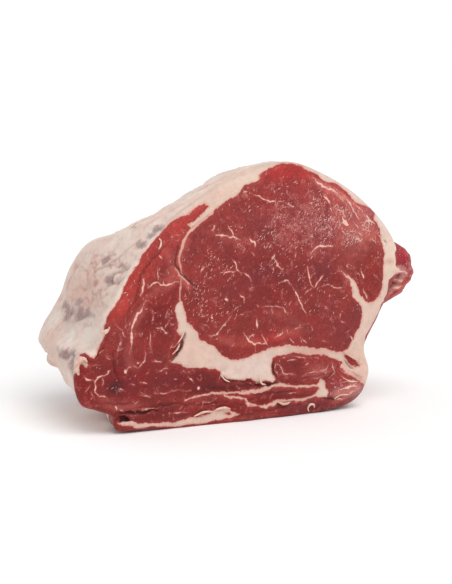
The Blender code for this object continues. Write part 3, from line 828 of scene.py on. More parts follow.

# %% [markdown]
# ## What covers the sides
# The flank and the top wear the fat that lay under the hide: cream, lumpy, with lilac-grey spots where it
# is thin over the meat. The rib side has strips of meat that lay between the bones and pale membrane in
# the beds of the bones. The backbone side is trimmed by hand, so fat, thin membrane and meat show in
# patches, and the lobe is meat. These are spots in space, given as x, y, z, reach, colour or height, and
# strength. Some of them are painted shade: the flank as a whole, the notch at its back corner, the
# greys on sunken folds and creases, and the dark slit in the lobe.

# %% Spots on the sides
THIN_SPOTS = (  # where meat shows lilac through the cover: x, y, z, reach in x, y, z, strength
    (-93, 12, 58, 7, 6.8, 4.6, 1), (-95, 2, 58, 7, 8.1, 4.6, 1), (-97, -12, 60, 7, 9.5, 4.7, 1),
    (-96, -22, 62, 7, 8.1, 4.4, 0.9), (-94, -5, 65, 7, 10.8, 3.6, 0.8), (-93, 20, 60, 7, 5.4, 4.4, 0.8),
    (-82, -14, 88, 6, 5.0, 3.0, 1), (-87, -33, 80, 6, 6.4, 3.4, 0.9), (-81, -36, 88.4, 5, 6.4, 2.6, 0.85),
    (-84, -24, 85.5, 5, 5.4, 2.4, 0.7), (-72, -41, 99, 6, 8.1, 3.4, 0.95), (-63.5, -44, 107, 5, 8.0, 3.4, 1),
    (-64, -16, 105, 5, 5.4, 2.2, 0.7), (-67, -43, 104, 4, 6.0, 2.6, 0.9), (-110, -25, 41, 5, 9.5, 4.4, 0.9),
    (-111, -35, 37, 5, 6.8, 5.2, 0.8), (-84, -2, 84, 5, 5.4, 2.3, 0.6), (-100, -30, 56, 5, 6.8, 3.1, 0.6),
)  # fmt: skip
FLANK_TINTS = (
    # painted shade: the first, broad tint darkens the whole flank, which faces away from the light
    (-98, -12, 64, 24, 56, 36, "#CDB3A7", 0.85), (-95, 22, 53, 7, 10, 8, "#E6DAD0", 0.8),
    (-82, 28, 80, 5, 8, 6, "#E0CABD", 0.6), (-92, -4, 70, 10, 24, 8, "#D3AB9C", 0.7),
    (-104, 10, 30, 10, 20, 12, "#D8AE9F", 0.6), (-86, -6, 81, 6, 8, 3.4, "#DCAE9F", 0.6),
    (-88, -22, 77, 4, 6, 2.4, "#DDA897", 0.6), (-84, -2, 86, 5, 7, 2, "#E2BEB0", 0.6),
    (-46, -27, 117, 7, 5, 2, "#E0A193", 0.5), (-30, -34, 127, 9, 3, 1.6, "#DDA595", 0.5),
    (-18, -36, 133, 9, 3, 1.4, "#D99C8C", 0.5), (-100, -33, 50, 6, 14, 7, "#E6DCD2", 0.7),
    (-103, -14, 47, 5, 10, 6, "#ECE5DC", 0.7), (-104, 14, 44, 4, 8, 7, "#E9C4B6", 0.7),
    (-110, -19, 40, 1.6, 2.6, 1.6, "#7A3436", 0.95), (-110, -25, 38.6, 1.6, 2.4, 1.4, "#7E3838", 0.9),
    # painted shade: the four brown tints in and around the notch at the flank's back corner
    (-83, 21, 80, 1.8, 2.4, 2.4, "#7E6458", 0.8), (-86, 30, 68, 3, 4, 3, "#B98673", 0.7),
    (-86, 26, 72, 2, 3, 3, "#A97664", 0.7), (-91, 24, 60, 2.5, 4, 3, "#C09584", 0.6),
    (-70, 20, 88, 9, 12, 7, "#DCCBC0", 0.5), (-90, -40, 70, 4, 6, 6, "#DDCABD", 0.6),
    (-40, 10, 110, 12, 16, 5, "#DDD0C6", 0.5), (20, 0, 128, 18, 20, 6, "#E6CFC3", 0.6),
    (50, 10, 112, 10, 18, 6, "#E3BDB0", 0.6), (-10, 30, 114, 12, 8, 4, "#D9BDB2", 0.5),
    (-105, 0, 36, 5, 12, 5, "#E0BFB2", 0.6), (-66, -44, 101, 5, 6, 5, "#DCCCC6", 0.4),
    (72, 20, 80, 8, 16, 10, "#E2B3A4", 0.5), (66, 10, 40, 7, 18, 9, "#DFA798", 0.5),
)  # fmt: skip
FLANK_DENTS = (  # x, y, z, reach, height
    (-82, 25, 80, 4, -2.6), (-87, 28, 67, 4, -1.2), (-94, 10, 57, 6, -1.2), (-96, -20, 62, 6, -1.0),
    (-82, -14, 88, 3.6, -1.3), (-81, -35, 89, 3.6, -1.1), (-87, -34, 80, 3.2, -1.1), (-70, -41, 101, 4, -1.0),
    (-63, -45, 108, 4, -1.0), (-110, -26, 41, 4.5, -2.2), (-111, -34, 38, 4, -1.4), (-85, -24, 82, 6, 1.7),
    (-88, -17, 79, 4.5, 1.4), (-86, -38, 83, 4, 1.2), (-92, -28, 71, 7, 1.2), (-103, -22, 50, 9, 1.6),
    (-105, -4, 46, 7, -0.8), (-76, 0, 92, 8, 1.2), (-60, -30, 110, 7, 1.0), (-90, 14, 66, 5, 1.3),
    (-101, 4, 50, 5, 1.2), (-92, -4, 66, 6, 1.2), (-78, 14, 84, 5, 1.0), (60, 6, 96, 9, -1.2),
    (74, 16, 72, 8, 1.4), (68, -14, 52, 7, -1.6), (66, 24, 40, 8, 1.2), (30, -10, 126, 10, -0.8),
    (-96, -44, 62, 4, 0.8), (93, -38, 76, 5, 1.0), (88, -36, 64, 5, -1.2), (92, -24, 82, 5, 1.2),
    (84, -20, 66, 6, -1.4), (80, -8, 78, 6, 1.2),
)  # fmt: skip
print(len(THIN_SPOTS), "thin spots,", len(FLANK_TINTS), "tints and", len(FLANK_DENTS), "dents on the sides")

# %% Folds and curls on the sides
SIDE_STROKES = (  # folds and curls: height, reach, colour, how much of it, True for fat, then points
    # painted shade: the greys and grey-browns on the sunken folds of the flank and its tip
    (-1.5, 1.1, "#A87C70", 0.7, True, (-84, -19, 86), (-86, -12, 82), (-87, -8, 79), (-89, -10, 75)),
    (-1.5, 1.1, "#A08078", 0.7, True, (-81, -43, 88), (-85, -36, 84), (-86, -31, 81), (-88, -29, 78)),
    (-1.2, 1.0, "#AA8A80", 0.6, True, (-84, -46, 84), (-87, -42, 80), (-88, -37, 78), (-90, -34, 75)),
    (-1.1, 1.4, "#A39593", 0.5, True, (-95, 16, 54), (-99, -8, 55), (-98, -18, 59), (-97, -32, 61)),
    (-1.3, 1.5, "#C58D7E", 0.7, True, (-81, 31, 82), (-82, 27, 78), (-85, 26, 72), (-88, 22, 65),
     (-92, 16, 58), (-98, 13, 51), (-102, 11, 45)),
    (-1.8, 1.5, "#8A8482", 0.8, True, (-108, -28, 46), (-109, -30, 43), (-111, -37, 38), (-111, -38, 31)),
    (-0.5, 1.2, "#D79C8D", 0.6, True, (-60, -16, 108), (-48, -24, 116), (-34, -32, 125), (-20, -35, 132)),
    (-0.4, 1.0, "#D9A092", 0.6, True, (-66, -30, 106), (-52, -35, 115), (-37, -39, 124), (-24, -42, 130)),
    (-0.5, 1.2, "#CDB3A8", 0.5, True, (-74, -8, 95), (-64, 4, 101), (-50, 14, 106), (-30, 20, 112)),
    (0.7, 0.9, "#E9D8CC", 0.6, True, (-82, -20, 84), (-86, -13, 80), (-88, -9, 76)),
    (-0.7, 0.8, "#C2857A", 0.6, True, (-78, -20, 92), (-80, -14, 90), (-82, -10, 87)),
    (-0.5, 0.7, "#C98F84", 0.6, True, (-86, -26, 81), (-89, -20, 76), (-90, -12, 73), (-91, -4, 71)),
    (-0.9, 0.9, "#A98E88", 0.6, True, (-90, -38, 72), (-92, -32, 69), (-93, -24, 68)),
    (-0.6, 0.8, "#B08780", 0.6, True, (-74, -34, 97), (-79, -28, 92), (-81, -24, 89)),
    (0.6, 1.0, "#E6D3C8", 0.5, True, (-97, -2, 62), (-98, -12, 63), (-97, -22, 65)),
    (-0.5, 0.8, "#D29A8C", 0.5, True, (-100, -38, 56), (-103, -34, 52), (-106, -30, 48)),
    # the raised cream lip along the corner: thicker fat, with a painted highlight where the rim catches the
    # light
    (0.8, 1.4, "#F2DCCB", 0.8, True, (-72, -50, 100), (-84, -50, 82), (-88, -49.5, 76), (-92, -49, 69),
     (-95, -46, 62), (-97, -48, 53), (-100, -47, 46), (-103, -46, 42)),
    (-1.1, 1.8, "#9C8884", 0.6, True, (-106, -46, 45), (-110, -38, 43), (-112, -28, 42), (-110, -12, 42)),
    (-0.9, 2.0, "#C79A8C", 0.4, True, (60, 30, 100), (66, 10, 95), (72, -10, 92), (80, -26, 92)),
    (-1.0, 2.0, "#A86A60", 0.5, False, (64, 36, 44), (66, 16, 46), (68, -6, 46), (70, -28, 47)),
    (1.3, 1.4, "#EBC6B8", 1.0, True, (82.4, -48.6, 76), (86.4, -47.6, 76.9), (89.6, -46.6, 75.3),
     (90.8, -46.2, 73), (89.6, -46.6, 71), (86.5, -47, 70.2)),
    (1.2, 1.1, "#E6BCAE", 1.0, True, (88.4, -46.4, 70), (88.6, -45.6, 67.5), (86.2, -45.4, 65.4)),
    (1.1, 1.0, "#E3B6A8", 1.0, True, (84.8, -46.4, 66.2), (83, -46, 64.4), (81.2, -45.6, 62.6)),
    # painted shade: the dark red and near-black strokes in the lobe's slit
    (-0.8, 1.0, "#7A0E16", 0.9, False, (85.6, -45.2, 63.6), (83.4, -45.2, 62.2)),
    (0.9, 1.4, "#DDA798", 0.9, True, (82.6, -48.4, 76), (83.6, -47.6, 73.6), (85, -47, 71)),
    (-3.0, 1.3, "#5A0810", 1.0, False, (88, -47, 73.2), (87.5, -47, 71.8)),
    (-3.4, 1.4, "#0C0203", 1.0, False, (85, -47, 69.2), (82.8, -47, 66.8), (80.9, -47, 65)),
    (0.9, 2.2, "#BE3A28", 0.9, False, (80, -46, 60.5), (88, -44, 61.5), (92, -44, 67), (95, -43, 72)),
    (-1.2, 1.1, "#741420", 0.9, False, (86, -46.4, 79.6), (91, -45, 78.4), (94.4, -44.2, 75),
     (95, -44, 71.4)),
    (0.5, 0.8, "#E0A8A2", 0.8, True, (93.1, -46, 80.2), (94.9, -45.2, 77.2), (96.6, -44.2, 72.4)),
    (0.6, 0.7, "#D98F86", 0.6, True, (86, -45, 87), (92, -42, 84), (96, -40, 79)),
    (0.6, 0.7, "#E4B8B0", 0.8, True, (82, -46, 88.5), (84, -45.5, 86)),
    (0.5, 0.7, "#E0A8A0", 0.7, True, (85, -45, 83), (88, -43.5, 79.8)),
)  # fmt: skip
BACKBONE_FROM, BACKBONE_TO = (12.6, 14.4), (20, 21.2)  # the trimmed side starts and ends, in landmarks
RIB_SIDE_FROM, RIB_SIDE_TO = (20.6, 21.6), (0.8, 2.2)
LOBE_FROM, LOBE_TO, LOBE_BELOW = (14.5, 15.5), (18.6, 19.5), (86, 93)
SIDE_LUMPS = ((1.2, 17, 101), (0.9, 6.0, 105), (0.28, 2.2, 108))  # height, size, seed
CREASE_DEEP, CREASE_HALF_WIDTH = 1.1, 0.12
RIB_BED_Y, RIB_BED_HALF, RIB_BED_REACH, RIB_BED_DEEP = (-27.0, 13.0), 8.0, 7, 1.8
FLAT_UNDER = 0.02  # of its depth below the table is left to what is pressed flat
WRINKLES_AT, WRINKLES_REACH = (-86, -22, 80), (16, 26, 13)
print(len(SIDE_STROKES), "folds and curls on the sides")


# %% Fat and lean on the sides
def near_path(points, path, reach):
    """1 on the path through `path`, and less with the distance from it."""
    path = smooth_path(path)
    room = np.ptp(path, axis=0) / 2 + 3 * reach + 6
    near = np.nonzero((np.abs(points - path.mean(axis=0)) < room).all(axis=1))[0]
    p, gap = points[near], np.full(len(near), np.inf)
    for a, b in zip(path[:-1], path[1:]):
        run, to = b - a, p - a
        along = np.clip(to @ run / (run @ run), 0, 1)
        gap = np.minimum(gap, np.linalg.norm(to - along[:, None] * run, axis=1))
    share = np.zeros(len(points))
    share[near] = np.exp(-((gap / reach) ** 2))
    return share


def side_fat(points, place, lobe):
    """How far inside fat each point of the sides lies, in mm."""
    patchy = rough(points, 9, 81)
    fine = rough(points, 3.2, 85)
    fat = np.full(len(points), 3.0)
    backbone = smooth_step(place, *BACKBONE_FROM) * (1 - smooth_step(place, *BACKBONE_TO))
    fat -= backbone * (2.0 - 4.2 * patchy - 1.2 * fine)  # trimmed, so fat is left in patches
    rib_side = smooth_step(place, *RIB_SIDE_FROM) + 1 - smooth_step(place, *RIB_SIDE_TO)
    bed = np.minimum.reduce([np.abs(points[:, 1] - y) for y in RIB_BED_Y]) - RIB_BED_HALF
    membrane = np.clip(-0.5 * (bed + 2.2 * patchy + 1.2 * fine), -2.5, 2.5)  # in the beds, not between
    rib_side = np.clip(rib_side, 0, 1)
    fat = fat * (1 - rib_side) + membrane * rib_side
    streaky = rough(points * (1, 0.5, 1.6), 6.5, 91)
    return fat - lobe * (6.6 - 7.5 * np.abs(streaky) * (fine > -0.2) - 1.5 * fine)  # meat, streaked


behind = side[:, 1] - np.tile(start[:, 1], len(rings))
before = np.tile(end[:, 1], len(rings)) - side[:, 1]
rim_fat = np.concatenate([fat_at(frayed(drawn)) for drawn, _ in front_edge])
wander = [1.3 * uneven(side, 6.0, seed) + 0.8 * uneven(side, 2.6, seed + 1) for seed in (71, 73, 75)]
wander = np.column_stack(wander)
stroke_share = [near_path(side + 0.5 * wander, path, reach) for _, reach, _, _, _, *path in SIDE_STROKES]
at_lobe = smooth_step(side_place, *LOBE_FROM) * (1 - smooth_step(side_place, *LOBE_TO))
at_lobe *= 1 - smooth_step(side[:, 2], *LOBE_BELOW)
own = side_fat(side, side_place, np.maximum(smooth_step(side_lobe, 0.02, 0.3), at_lobe))
for share, (_, _, _, _, is_fat, *_) in zip(stroke_share, SIDE_STROKES):
    own = own * (1 - share) + (2.0 if is_fat else -2.0) * share
front_wrap = 1 - smooth_step(behind + 0.9 * rough(side, 5, 95) + 3.4 * at_lobe, 0.3, 2.4)
back_wrap = 1 - smooth_step(before + 0.9 * rough(side, 5, 96), 0.3, 2.4)
from_front = np.concatenate([rim_fat, np.tile(rim_fat[-AROUND:], len(rings) - ON_EDGE - 1)])
back_rim_fat = np.tile(back_fat[:AROUND], len(rings))
wrinkled = 0.25 + np.exp(-(((side - WRINKLES_AT) / WRINKLES_REACH) ** 2).sum(axis=1))
crease_lines = smooth_step(1 - np.abs(rough(side * (1, 0.6, 1) + wander, 7.5, 131)) / CREASE_HALF_WIDTH)
creases_and_shade = wrinkled * crease_lines * smooth_step(own, 0.5, 2.0)
side_fat_mm = own * (1 - front_wrap) * (1 - back_wrap) + from_front * front_wrap + back_rim_fat * back_wrap
print("share of the sides in lean:", round(float((side_fat_mm < 0).mean()), 2))

# %% [markdown]
# ## One closed mesh
# The two triangulated cuts and the grid of rings share the rim's points, so the whole roast is one closed
# skin. It is built once to learn which way each point faces, and then the sides' finer relief moves every
# point along its own normal. The underside is pressed flat at the end, as the weight of the meat does on
# a table.

# %% Points and faces
front_3d = front_place(front_flat, front_sink)
back_3d = back_place(back_flat, back_sink)
inner_front, inner_back = len(front_inner), len(back_inner)
points = np.vstack([side, front_3d[AROUND:], back_3d[AROUND:]])
last_ring = (len(rings) - 1) * AROUND
front_ids = np.concatenate([np.arange(AROUND), len(side) + np.arange(inner_front)])
back_ids = np.concatenate([last_ring + np.arange(AROUND), len(side) + inner_front + np.arange(inner_back)])
r, k = np.indices((len(rings) - 1, AROUND))
a, b = (r * AROUND + k).ravel(), (r * AROUND + (k + 1) % AROUND).ravel()
quads = np.column_stack([a, b, b + AROUND, a + AROUND])
front_tris = front_ids[front_faces]
back_tris = back_ids[back_faces][:, ::-1]


def facing(tris):
    p = points[tris]
    return np.cross(p[:, 1] - p[:, 0], p[:, 2] - p[:, 0])[:, 1].sum()


front_tris = front_tris if facing(front_tris) < 0 else front_tris[:, ::-1]
back_tris = back_tris if facing(back_tris) > 0 else back_tris[:, ::-1]
quad_out = np.cross(points[quads[:, 1]] - points[quads[:, 0]], points[quads[:, 3]] - points[quads[:, 0]])
if ((points[quads[:, 0]] - points.mean(axis=0)) * quad_out).sum() < 0:
    quads = quads[:, ::-1]
print(len(points), "points,", 2 * len(quads) + len(front_tris) + len(back_tris), "triangles")


# %% The mesh, and its finer relief
def mesh_from(name, points, *faces):
    data = bpy.data.meshes.new(name)
    data.from_pydata((points * MM).tolist(), [], [face for some in faces for face in some.tolist()])
    data.shade_smooth()
    return data


def vertex_normals(data):
    found = np.empty(len(data.vertices) * 3, np.float32)
    data.vertex_normals.foreach_get("vector", found)
    return found.reshape(-1, 3).astype(float)


first = mesh_from("first_form", points, quads, front_tris, back_tris)
normals = vertex_normals(first)
bpy.data.meshes.remove(first)

between = side[ON_EDGE * AROUND : -ON_EDGE * AROUND]
large_form = np.vstack([between, front_place(front_flat, 0), back_place(back_flat, 0)])
low, high = large_form.min(axis=0), large_form.max(axis=0)
middle = 500 * (np.array(cad_low) + np.array(cad_high))
shift = np.array([*(middle - (low + high) / 2)[:2], 0.0])

n_side = len(side)
lumps = sum(height * rough(side, size, seed) for height, size, seed in SIDE_LUMPS)
lumps -= CREASE_DEEP * creases_and_shade
for *place, reach, height in FLANK_DENTS:
    lumps += height * np.exp(-((side - place) ** 2).sum(axis=1) / reach**2)
for share, (height, *_) in zip(stroke_share, SIDE_STROKES):
    lumps += height * share
lumps += side_lobe * (1.4 * rough(side * (0.6, 0.6, 1.6), 7, 111) + 0.5 * rough(side, 2.2, 113))
lumps -= 0.5 * smooth_step(-side_fat_mm, -1, 1)
on_side = smooth_step(behind + 2.6 * at_lobe, 0.0, 4.0) * smooth_step(before, 0.0, 4.0)
points[:n_side] += normals[:n_side] * (lumps * on_side)[:, None]
bed = np.minimum.reduce([np.abs(side[:, 1] - y) for y in RIB_BED_Y])
under = smooth_step(-side[:, 2], -14, 2) * on_side
hollow = RIB_BED_DEEP * np.exp(-((bed / RIB_BED_REACH) ** 2))
points[:n_side, 2] += under * (hollow * smooth_step(rough(side, 20, 121), -0.7, 0.2))
points[:, 2] = np.maximum(points[:, 2], FLAT_UNDER * np.clip(points[:, 2], -1, 0))

placed = points + shift
print("moved", np.round(shift, 2), "mm into the frame, and now", np.round(np.ptp(placed, axis=0), 1), "mm")

roast_data = mesh_from("roast_surface", placed, quads, front_tris, back_tris)
roast = bpy.data.objects.new("roast_surface", roast_data)
bpy.context.scene.collection.objects.link(roast)

# %% [markdown]
# ## What the mesh tells its material
# The material works from values stored on the points: how far each one is inside fat, how strong a vein
# is, and the two colours that fat and lean would have there. Blender blends the stored distance smoothly
# from point to point, so the material can draw an edge that is sharper than the mesh and fray it with its
# own noise.

# %% Colours of the sides
LOBE_LEAN, SIDE_LEAN, PINK_COVER = "#8A2A27", "#8F3F3B", "#DDB3A5"
rim_lean = np.concatenate([lean_colour(drawn) for drawn, _ in front_edge])
rim_cream = np.concatenate([fat_colour(drawn) for drawn, _ in front_edge])
repeats = len(rings) - ON_EDGE - 1
rim_lean = np.vstack([rim_lean, np.tile(rim_lean[-AROUND:], (repeats, 1))])
rim_cream = np.vstack([rim_cream, np.tile(rim_cream[-AROUND:], (repeats, 1))])

LOBE_SPOTS = (
    (90, -48, 75, 14, 7, 18, "#A80A12", 1.0), (88, -46, 84, 8, 6, 7, "#A4102C", 0.8),
    (96, -44, 86, 8, 5, 5, "#AC2036", 0.7), (92, -44, 61, 10, 5, 6, "#B42212", 0.8),
    (84, -48, 70, 4, 6, 8, "#8A1D1C", 0.7), (98, -20, 78, 10, 8, 8, "#7C2E2C", 0.6),
    (97, -30, 66, 8, 6, 6, "#9A3A34", 0.6),
)  # fmt: skip
own_lean = spotted(side, SIDE_LEAN, LOBE_SPOTS)
lobe_mix = side_lobe[:, None]
own_lean = own_lean * (1 - lobe_mix) + spotted(side, LOBE_LEAN, LOBE_SPOTS) * lobe_mix
own_cream = spotted(side + 1.6 * wander, COVER, FLANK_TINTS)
pink = smooth_step(rough(side, 13, 141), 0.05, 0.6)[:, None] * 0.35
own_cream = own_cream * (1 - pink) + linear(PINK_COVER) * pink
# the creases are darkened and reddened: painted shade in the creases
own_cream *= 1 - np.outer(creases_and_shade, (0.18, 0.32, 0.30))
for share, (_, _, tint, strength, *_) in zip(stroke_share, SIDE_STROKES):
    share = strength * share[:, None]
    own_cream = own_cream * (1 - share) + linear(tint) * share
    own_lean = own_lean * (1 - share) + linear(tint) * share
keep = front_wrap[:, None]
side_lean = own_lean * (1 - keep) + rim_lean * keep
side_cream = own_cream * (1 - keep) + rim_cream * keep
print("pink shows through", round(100 * float((pink > 0.1).mean())), "% of the cover")

# %% Stored values
# the upper eye is also where pale flecks paint the small wet glints
SPECKLE_AT, SPECKLE_REACH = (26, 108), (34, 17)  # the upper eye, where the marbling is finest
lean_tint = np.vstack([side_lean, lean_colour(front_inner), lean_colour(same_place_in_front(back_inner))])
fat_tint = np.vstack([side_cream, fat_colour(front_inner), fat_colour(same_place_in_front(back_inner))])
fat_mm = np.concatenate([side_fat_mm, front_fat[AROUND:], back_fat[AROUND:]])
streaks = smooth_step(1 - np.abs(rough(side * (1, 0.4, 1), 8, 151)) / 0.07)
streaks *= smooth_step(-side_fat_mm, 0.2, 1.0)
streaks *= 1 - 0.8 * side_lobe
back_veins = veins_at(back_inner, small_veins(260, (-95, 3), (72, 116), 29))
vein = np.concatenate([1.6 * streaks * smooth_step(behind, 1, 4) - 1.2, front_vein[AROUND:], back_veins])
film = np.concatenate([0.5 * streaks, films_at(front_fray[AROUND:]), np.zeros(inner_back)])
thin = np.zeros(n_side)
for *place, strength in THIN_SPOTS:
    away = (((side + 0.8 * wander - place[:3]) / place[3:]) ** 2).sum(axis=1)
    thin = np.maximum(thin, strength * np.exp(-away))
thin = np.concatenate([thin, np.zeros(inner_front + inner_back)])
speckle_place = ((front_inner - SPECKLE_AT) / SPECKLE_REACH) ** 2
speckle = np.concatenate([np.zeros(n_side), np.exp(-speckle_place.sum(axis=1)), np.zeros(inner_back)])


def store(data, name, kind, values):
    attribute = data.attributes.new(name, kind, "POINT")
    part = "color" if kind == "FLOAT_COLOR" else "value"
    attribute.data.foreach_set(part, np.asarray(values, np.float32).ravel())


def opaque(colours):
    return np.column_stack([colours, np.ones(len(colours))])


# crevice depth, which the material paints as juice and as shade in the gaps
gap = np.concatenate([np.zeros(n_side), front_crevice[AROUND:], np.zeros(inner_back)])
stored_numbers = {"fat": fat_mm, "vein": vein, "film": film, "thin": thin, "speckle": speckle, "gap": gap}
for name, values in stored_numbers.items():
    store(roast_data, name, "FLOAT", values)
store(roast_data, "lean_tint", "FLOAT_COLOR", opaque(lean_tint))
store(roast_data, "fat_tint", "FLOAT_COLOR", opaque(fat_tint))
print(len(roast_data.attributes), "attributes on the mesh")

# %% [markdown]
# This flat layout is for baking the finish into flat images for another program. The cuts carry the finest
# detail, so they get the most room in it: the front cut at full scale, the sides in two
# long strips above it, and the back cut turned on its side in the corner that is left.

# %% Flat layout
SHEET = 268.0  # mm across the whole square
STRIPS_FROM, STRIP_HIGH, STRIP_SHRINK, BACK_FROM = 146.0, 61.0, 0.588, 205.0
BACK_SHRINK = (0.5, 0.75)
MARGIN = 1
ring_step = [np.linalg.norm(b - a, axis=1).mean() for a, b in zip(rings[:-1], rings[1:])]
ring_run = np.concatenate([[0], np.cumsum(ring_step)])
corners = np.array([loop.vertex_index for loop in roast_data.loops])
n_quads, n_front = 4 * len(quads), 3 * len(front_tris)
flat = np.zeros((len(corners), 2))

ring_of, k_of = corners[:n_quads] // AROUND, corners[:n_quads] % AROUND
first_k = np.repeat(np.tile(np.arange(AROUND), len(rings) - 1), 4)
k_of = np.where((first_k == AROUND - 1) & (k_of == 0), AROUND, k_of)
strip = first_k // (AROUND // 2)
flat[:n_quads, 0] = MARGIN + (k_of - strip * (AROUND // 2)) * (SHEET - 2 * MARGIN) / (AROUND // 2)
flat[:n_quads, 1] = STRIPS_FROM + strip * STRIP_HIGH + STRIP_SHRINK * ring_run[ring_of]

low_front, low_back = front_flat.min(axis=0), back_flat.min(axis=0)
front_slot = np.searchsorted(front_ids, corners[n_quads : n_quads + n_front])
back_slot = np.searchsorted(back_ids, corners[n_quads + n_front :])
flat[n_quads : n_quads + n_front] = MARGIN + front_flat[front_slot] - low_front
turned = (back_flat[back_slot] - low_back)[:, ::-1] * BACK_SHRINK
flat[n_quads + n_front :] = (BACK_FROM, 2 * MARGIN) + turned
roast_data.uv_layers.new(name="OFBake").data.foreach_set("uv", (flat / SHEET).astype(np.float32).ravel())
print("flat layout spans", np.round(flat.min(axis=0) / SHEET, 3), np.round(flat.max(axis=0) / SHEET, 3))

# %% [markdown]
# ## Raw beef
# Raw lean is translucent and wet. Light goes a few millimetres in and comes back red, and a thin film of
# moisture gives soft highlights on top. Cut fibres make a fine grain that runs obliquely across the eye
# and along the layers at the bottom. Fat is waxier: cream, less wet, with a faint pink where it thins
# out. One material draws both, because on real meat they are one surface, and the stored distance says
# which is which.


# %% Adding nodes
def add(tree, kind, inputs=None, **settings):
    """Adds a node, sets its properties, and sets or links its inputs by name or number."""
    node = tree.nodes.new(kind)
    for name, value in settings.items():
        setattr(node, name, value)
    for name, value in (inputs or {}).items():
        if isinstance(value, bpy.types.NodeSocket):
            tree.links.new(value, node.inputs[name])
        else:
            node.inputs[name].default_value = value
    return node


def rgba(hex_colour):
    return (*linear(hex_colour), 1.0)


def per_mm(size):
    """The noise scale that makes bumps about `size` mm across, in a pattern measured in metres."""
    return 1 / (size * MM)


print("bumps of 1 mm take a scale of", round(per_mm(1.0)))

# %% Where fat and lean lie
BRUISE, MEMBRANE, FINE_FLECK_AND_GLINT, JUICE_AND_SHADE = "#6E2C37", "#C87A72", "#D9958C", "#420808"
BESIDE_FAT, BESIDE_VEIN, FILM, VEIN_FAT = "#A2332F", "#A84540", "#C8645B", "#E2B8AB"
THIN_COVER, MEAT_UNDER_COVER, CAPILLARY, PINK_EDGE = "#A08785", "#704C52", "#C98F84", "#D2897C"
SOFT = {"interpolation_type": "SMOOTHSTEP"}
beef = bpy.data.materials.new("raw_beef_cut")
beef.use_nodes = True
tree = beef.node_tree
tree.nodes.clear()
place = add(tree, "ShaderNodeTexCoord").outputs["Object"]
stored = {}
for name in (*stored_numbers, "lean_tint", "fat_tint"):
    found = add(tree, "ShaderNodeAttribute", attribute_name=name)
    stored[name] = found.outputs["Color" if name.endswith("tint") else "Fac"]
fray = add(
    tree, "ShaderNodeTexNoise", {"Vector": place, "Scale": per_mm(1.3), "Detail": 3.0, "Roughness": 0.6}
)
fray_mm = add(
    tree,
    "ShaderNodeMapRange",
    {"Value": fray.outputs["Fac"], "From Min": 0.25, "From Max": 0.75, "To Min": -0.3, "To Max": 0.3},
)
fat_edge = add(
    tree, "ShaderNodeMath", {0: stored["fat"], 1: fray_mm.outputs[0]}, operation="ADD"
).outputs[0]
in_fat = add(tree, "ShaderNodeMapRange", {"Value": fat_edge, "From Min": -0.35, "From Max": 0.3}, **SOFT)
deep_fat = add(tree, "ShaderNodeMapRange", {"Value": fat_edge, "From Min": 0.0, "From Max": 1.5}, **SOFT)
vein_fray = add(
    tree, "ShaderNodeMath", {0: fray_mm.outputs[0], 1: 0.4, 2: stored["vein"]}, operation="MULTIPLY_ADD"
)
in_vein = add(
    tree, "ShaderNodeMapRange", {"Value": vein_fray.outputs[0], "From Min": -0.16, "From Max": 0.40}, **SOFT
)
by_vein = add(
    tree,
    "ShaderNodeMapRange",
    {"Value": stored["vein"], "From Min": -1.1, "From Max": 0.0, "To Max": 0.32},
    **SOFT,
)
near_fat = add(
    tree,
    "ShaderNodeMapRange",
    {"Value": fat_edge, "From Min": -2.2, "From Max": -0.2, "To Max": 0.5},
    **SOFT,
)
print(len(tree.nodes), "nodes find fat and lean")

# %% Lean: fibres and grain
GRAIN_TURN = np.radians(-52.0)
BOTTOM_LAYERS = 0.036  # metres above the table, below which the layers run level
turned = add(
    tree,
    "ShaderNodeMapping",
    {"Vector": place, "Rotation": (0, GRAIN_TURN, 0), "Scale": (2.4, 1.6, 1)},
    vector_type="TEXTURE",
)
level = add(
    tree,
    "ShaderNodeMapping",
    {"Vector": place, "Rotation": (0, -0.06, 0), "Scale": (6, 2, 1)},
    vector_type="TEXTURE",
)
height = add(tree, "ShaderNodeSeparateXYZ", {"Vector": place}).outputs["Z"]
low_down = add(
    tree,
    "ShaderNodeMapRange",
    {"Value": height, "From Min": BOTTOM_LAYERS + 0.004, "From Max": BOTTOM_LAYERS - 0.004},
)
grain_place = add(
    tree,
    "ShaderNodeMix",
    {0: low_down.outputs[0], 4: turned.outputs[0], 5: level.outputs[0]},
    data_type="VECTOR",
)
fibres = add(
    tree,
    "ShaderNodeTexNoise",
    {"Vector": grain_place.outputs[1], "Scale": per_mm(0.9), "Detail": 5.0, "Roughness": 0.68},
)
grains = add(
    tree, "ShaderNodeTexNoise", {"Vector": place, "Scale": per_mm(1.0), "Detail": 3.0, "Roughness": 0.65}
)
patches = add(
    tree, "ShaderNodeTexNoise", {"Vector": place, "Scale": per_mm(11.0), "Detail": 3.0, "Roughness": 0.55}
)
streaky = add(
    tree,
    "ShaderNodeMapRange",
    {"Value": fibres.outputs["Fac"], "From Min": 0.3, "From Max": 0.7, "To Min": 0.80, "To Max": 1.20},
)
grainy = add(
    tree,
    "ShaderNodeMapRange",
    {"Value": grains.outputs["Fac"], "From Min": 0.3, "From Max": 0.7, "To Min": 0.70, "To Max": 1.30},
)
patchy = add(
    tree,
    "ShaderNodeMapRange",
    {"Value": patches.outputs["Fac"], "From Min": 0.35, "From Max": 0.65, "To Min": 0.86, "To Max": 1.14},
)
shade = add(tree, "ShaderNodeMath", {0: streaky.outputs[0], 1: grainy.outputs[0]}, operation="MULTIPLY")
shade = add(tree, "ShaderNodeMath", {0: shade.outputs[0], 1: patchy.outputs[0]}, operation="MULTIPLY")
lean = add(
    tree,
    "ShaderNodeMix",
    {0: 1.0, 6: stored["lean_tint"], 7: shade.outputs[0]},
    data_type="RGBA",
    blend_type="MULTIPLY",
)
print(len(tree.nodes), "nodes so far")

# %% [markdown]
# Between the fibre bundles lie torn membranes: a fine net of pale lines that shows in places. A Voronoi
# pattern's distance to the edge of its cells draws such a net at any size, and noise bends it and hides
# most of it.

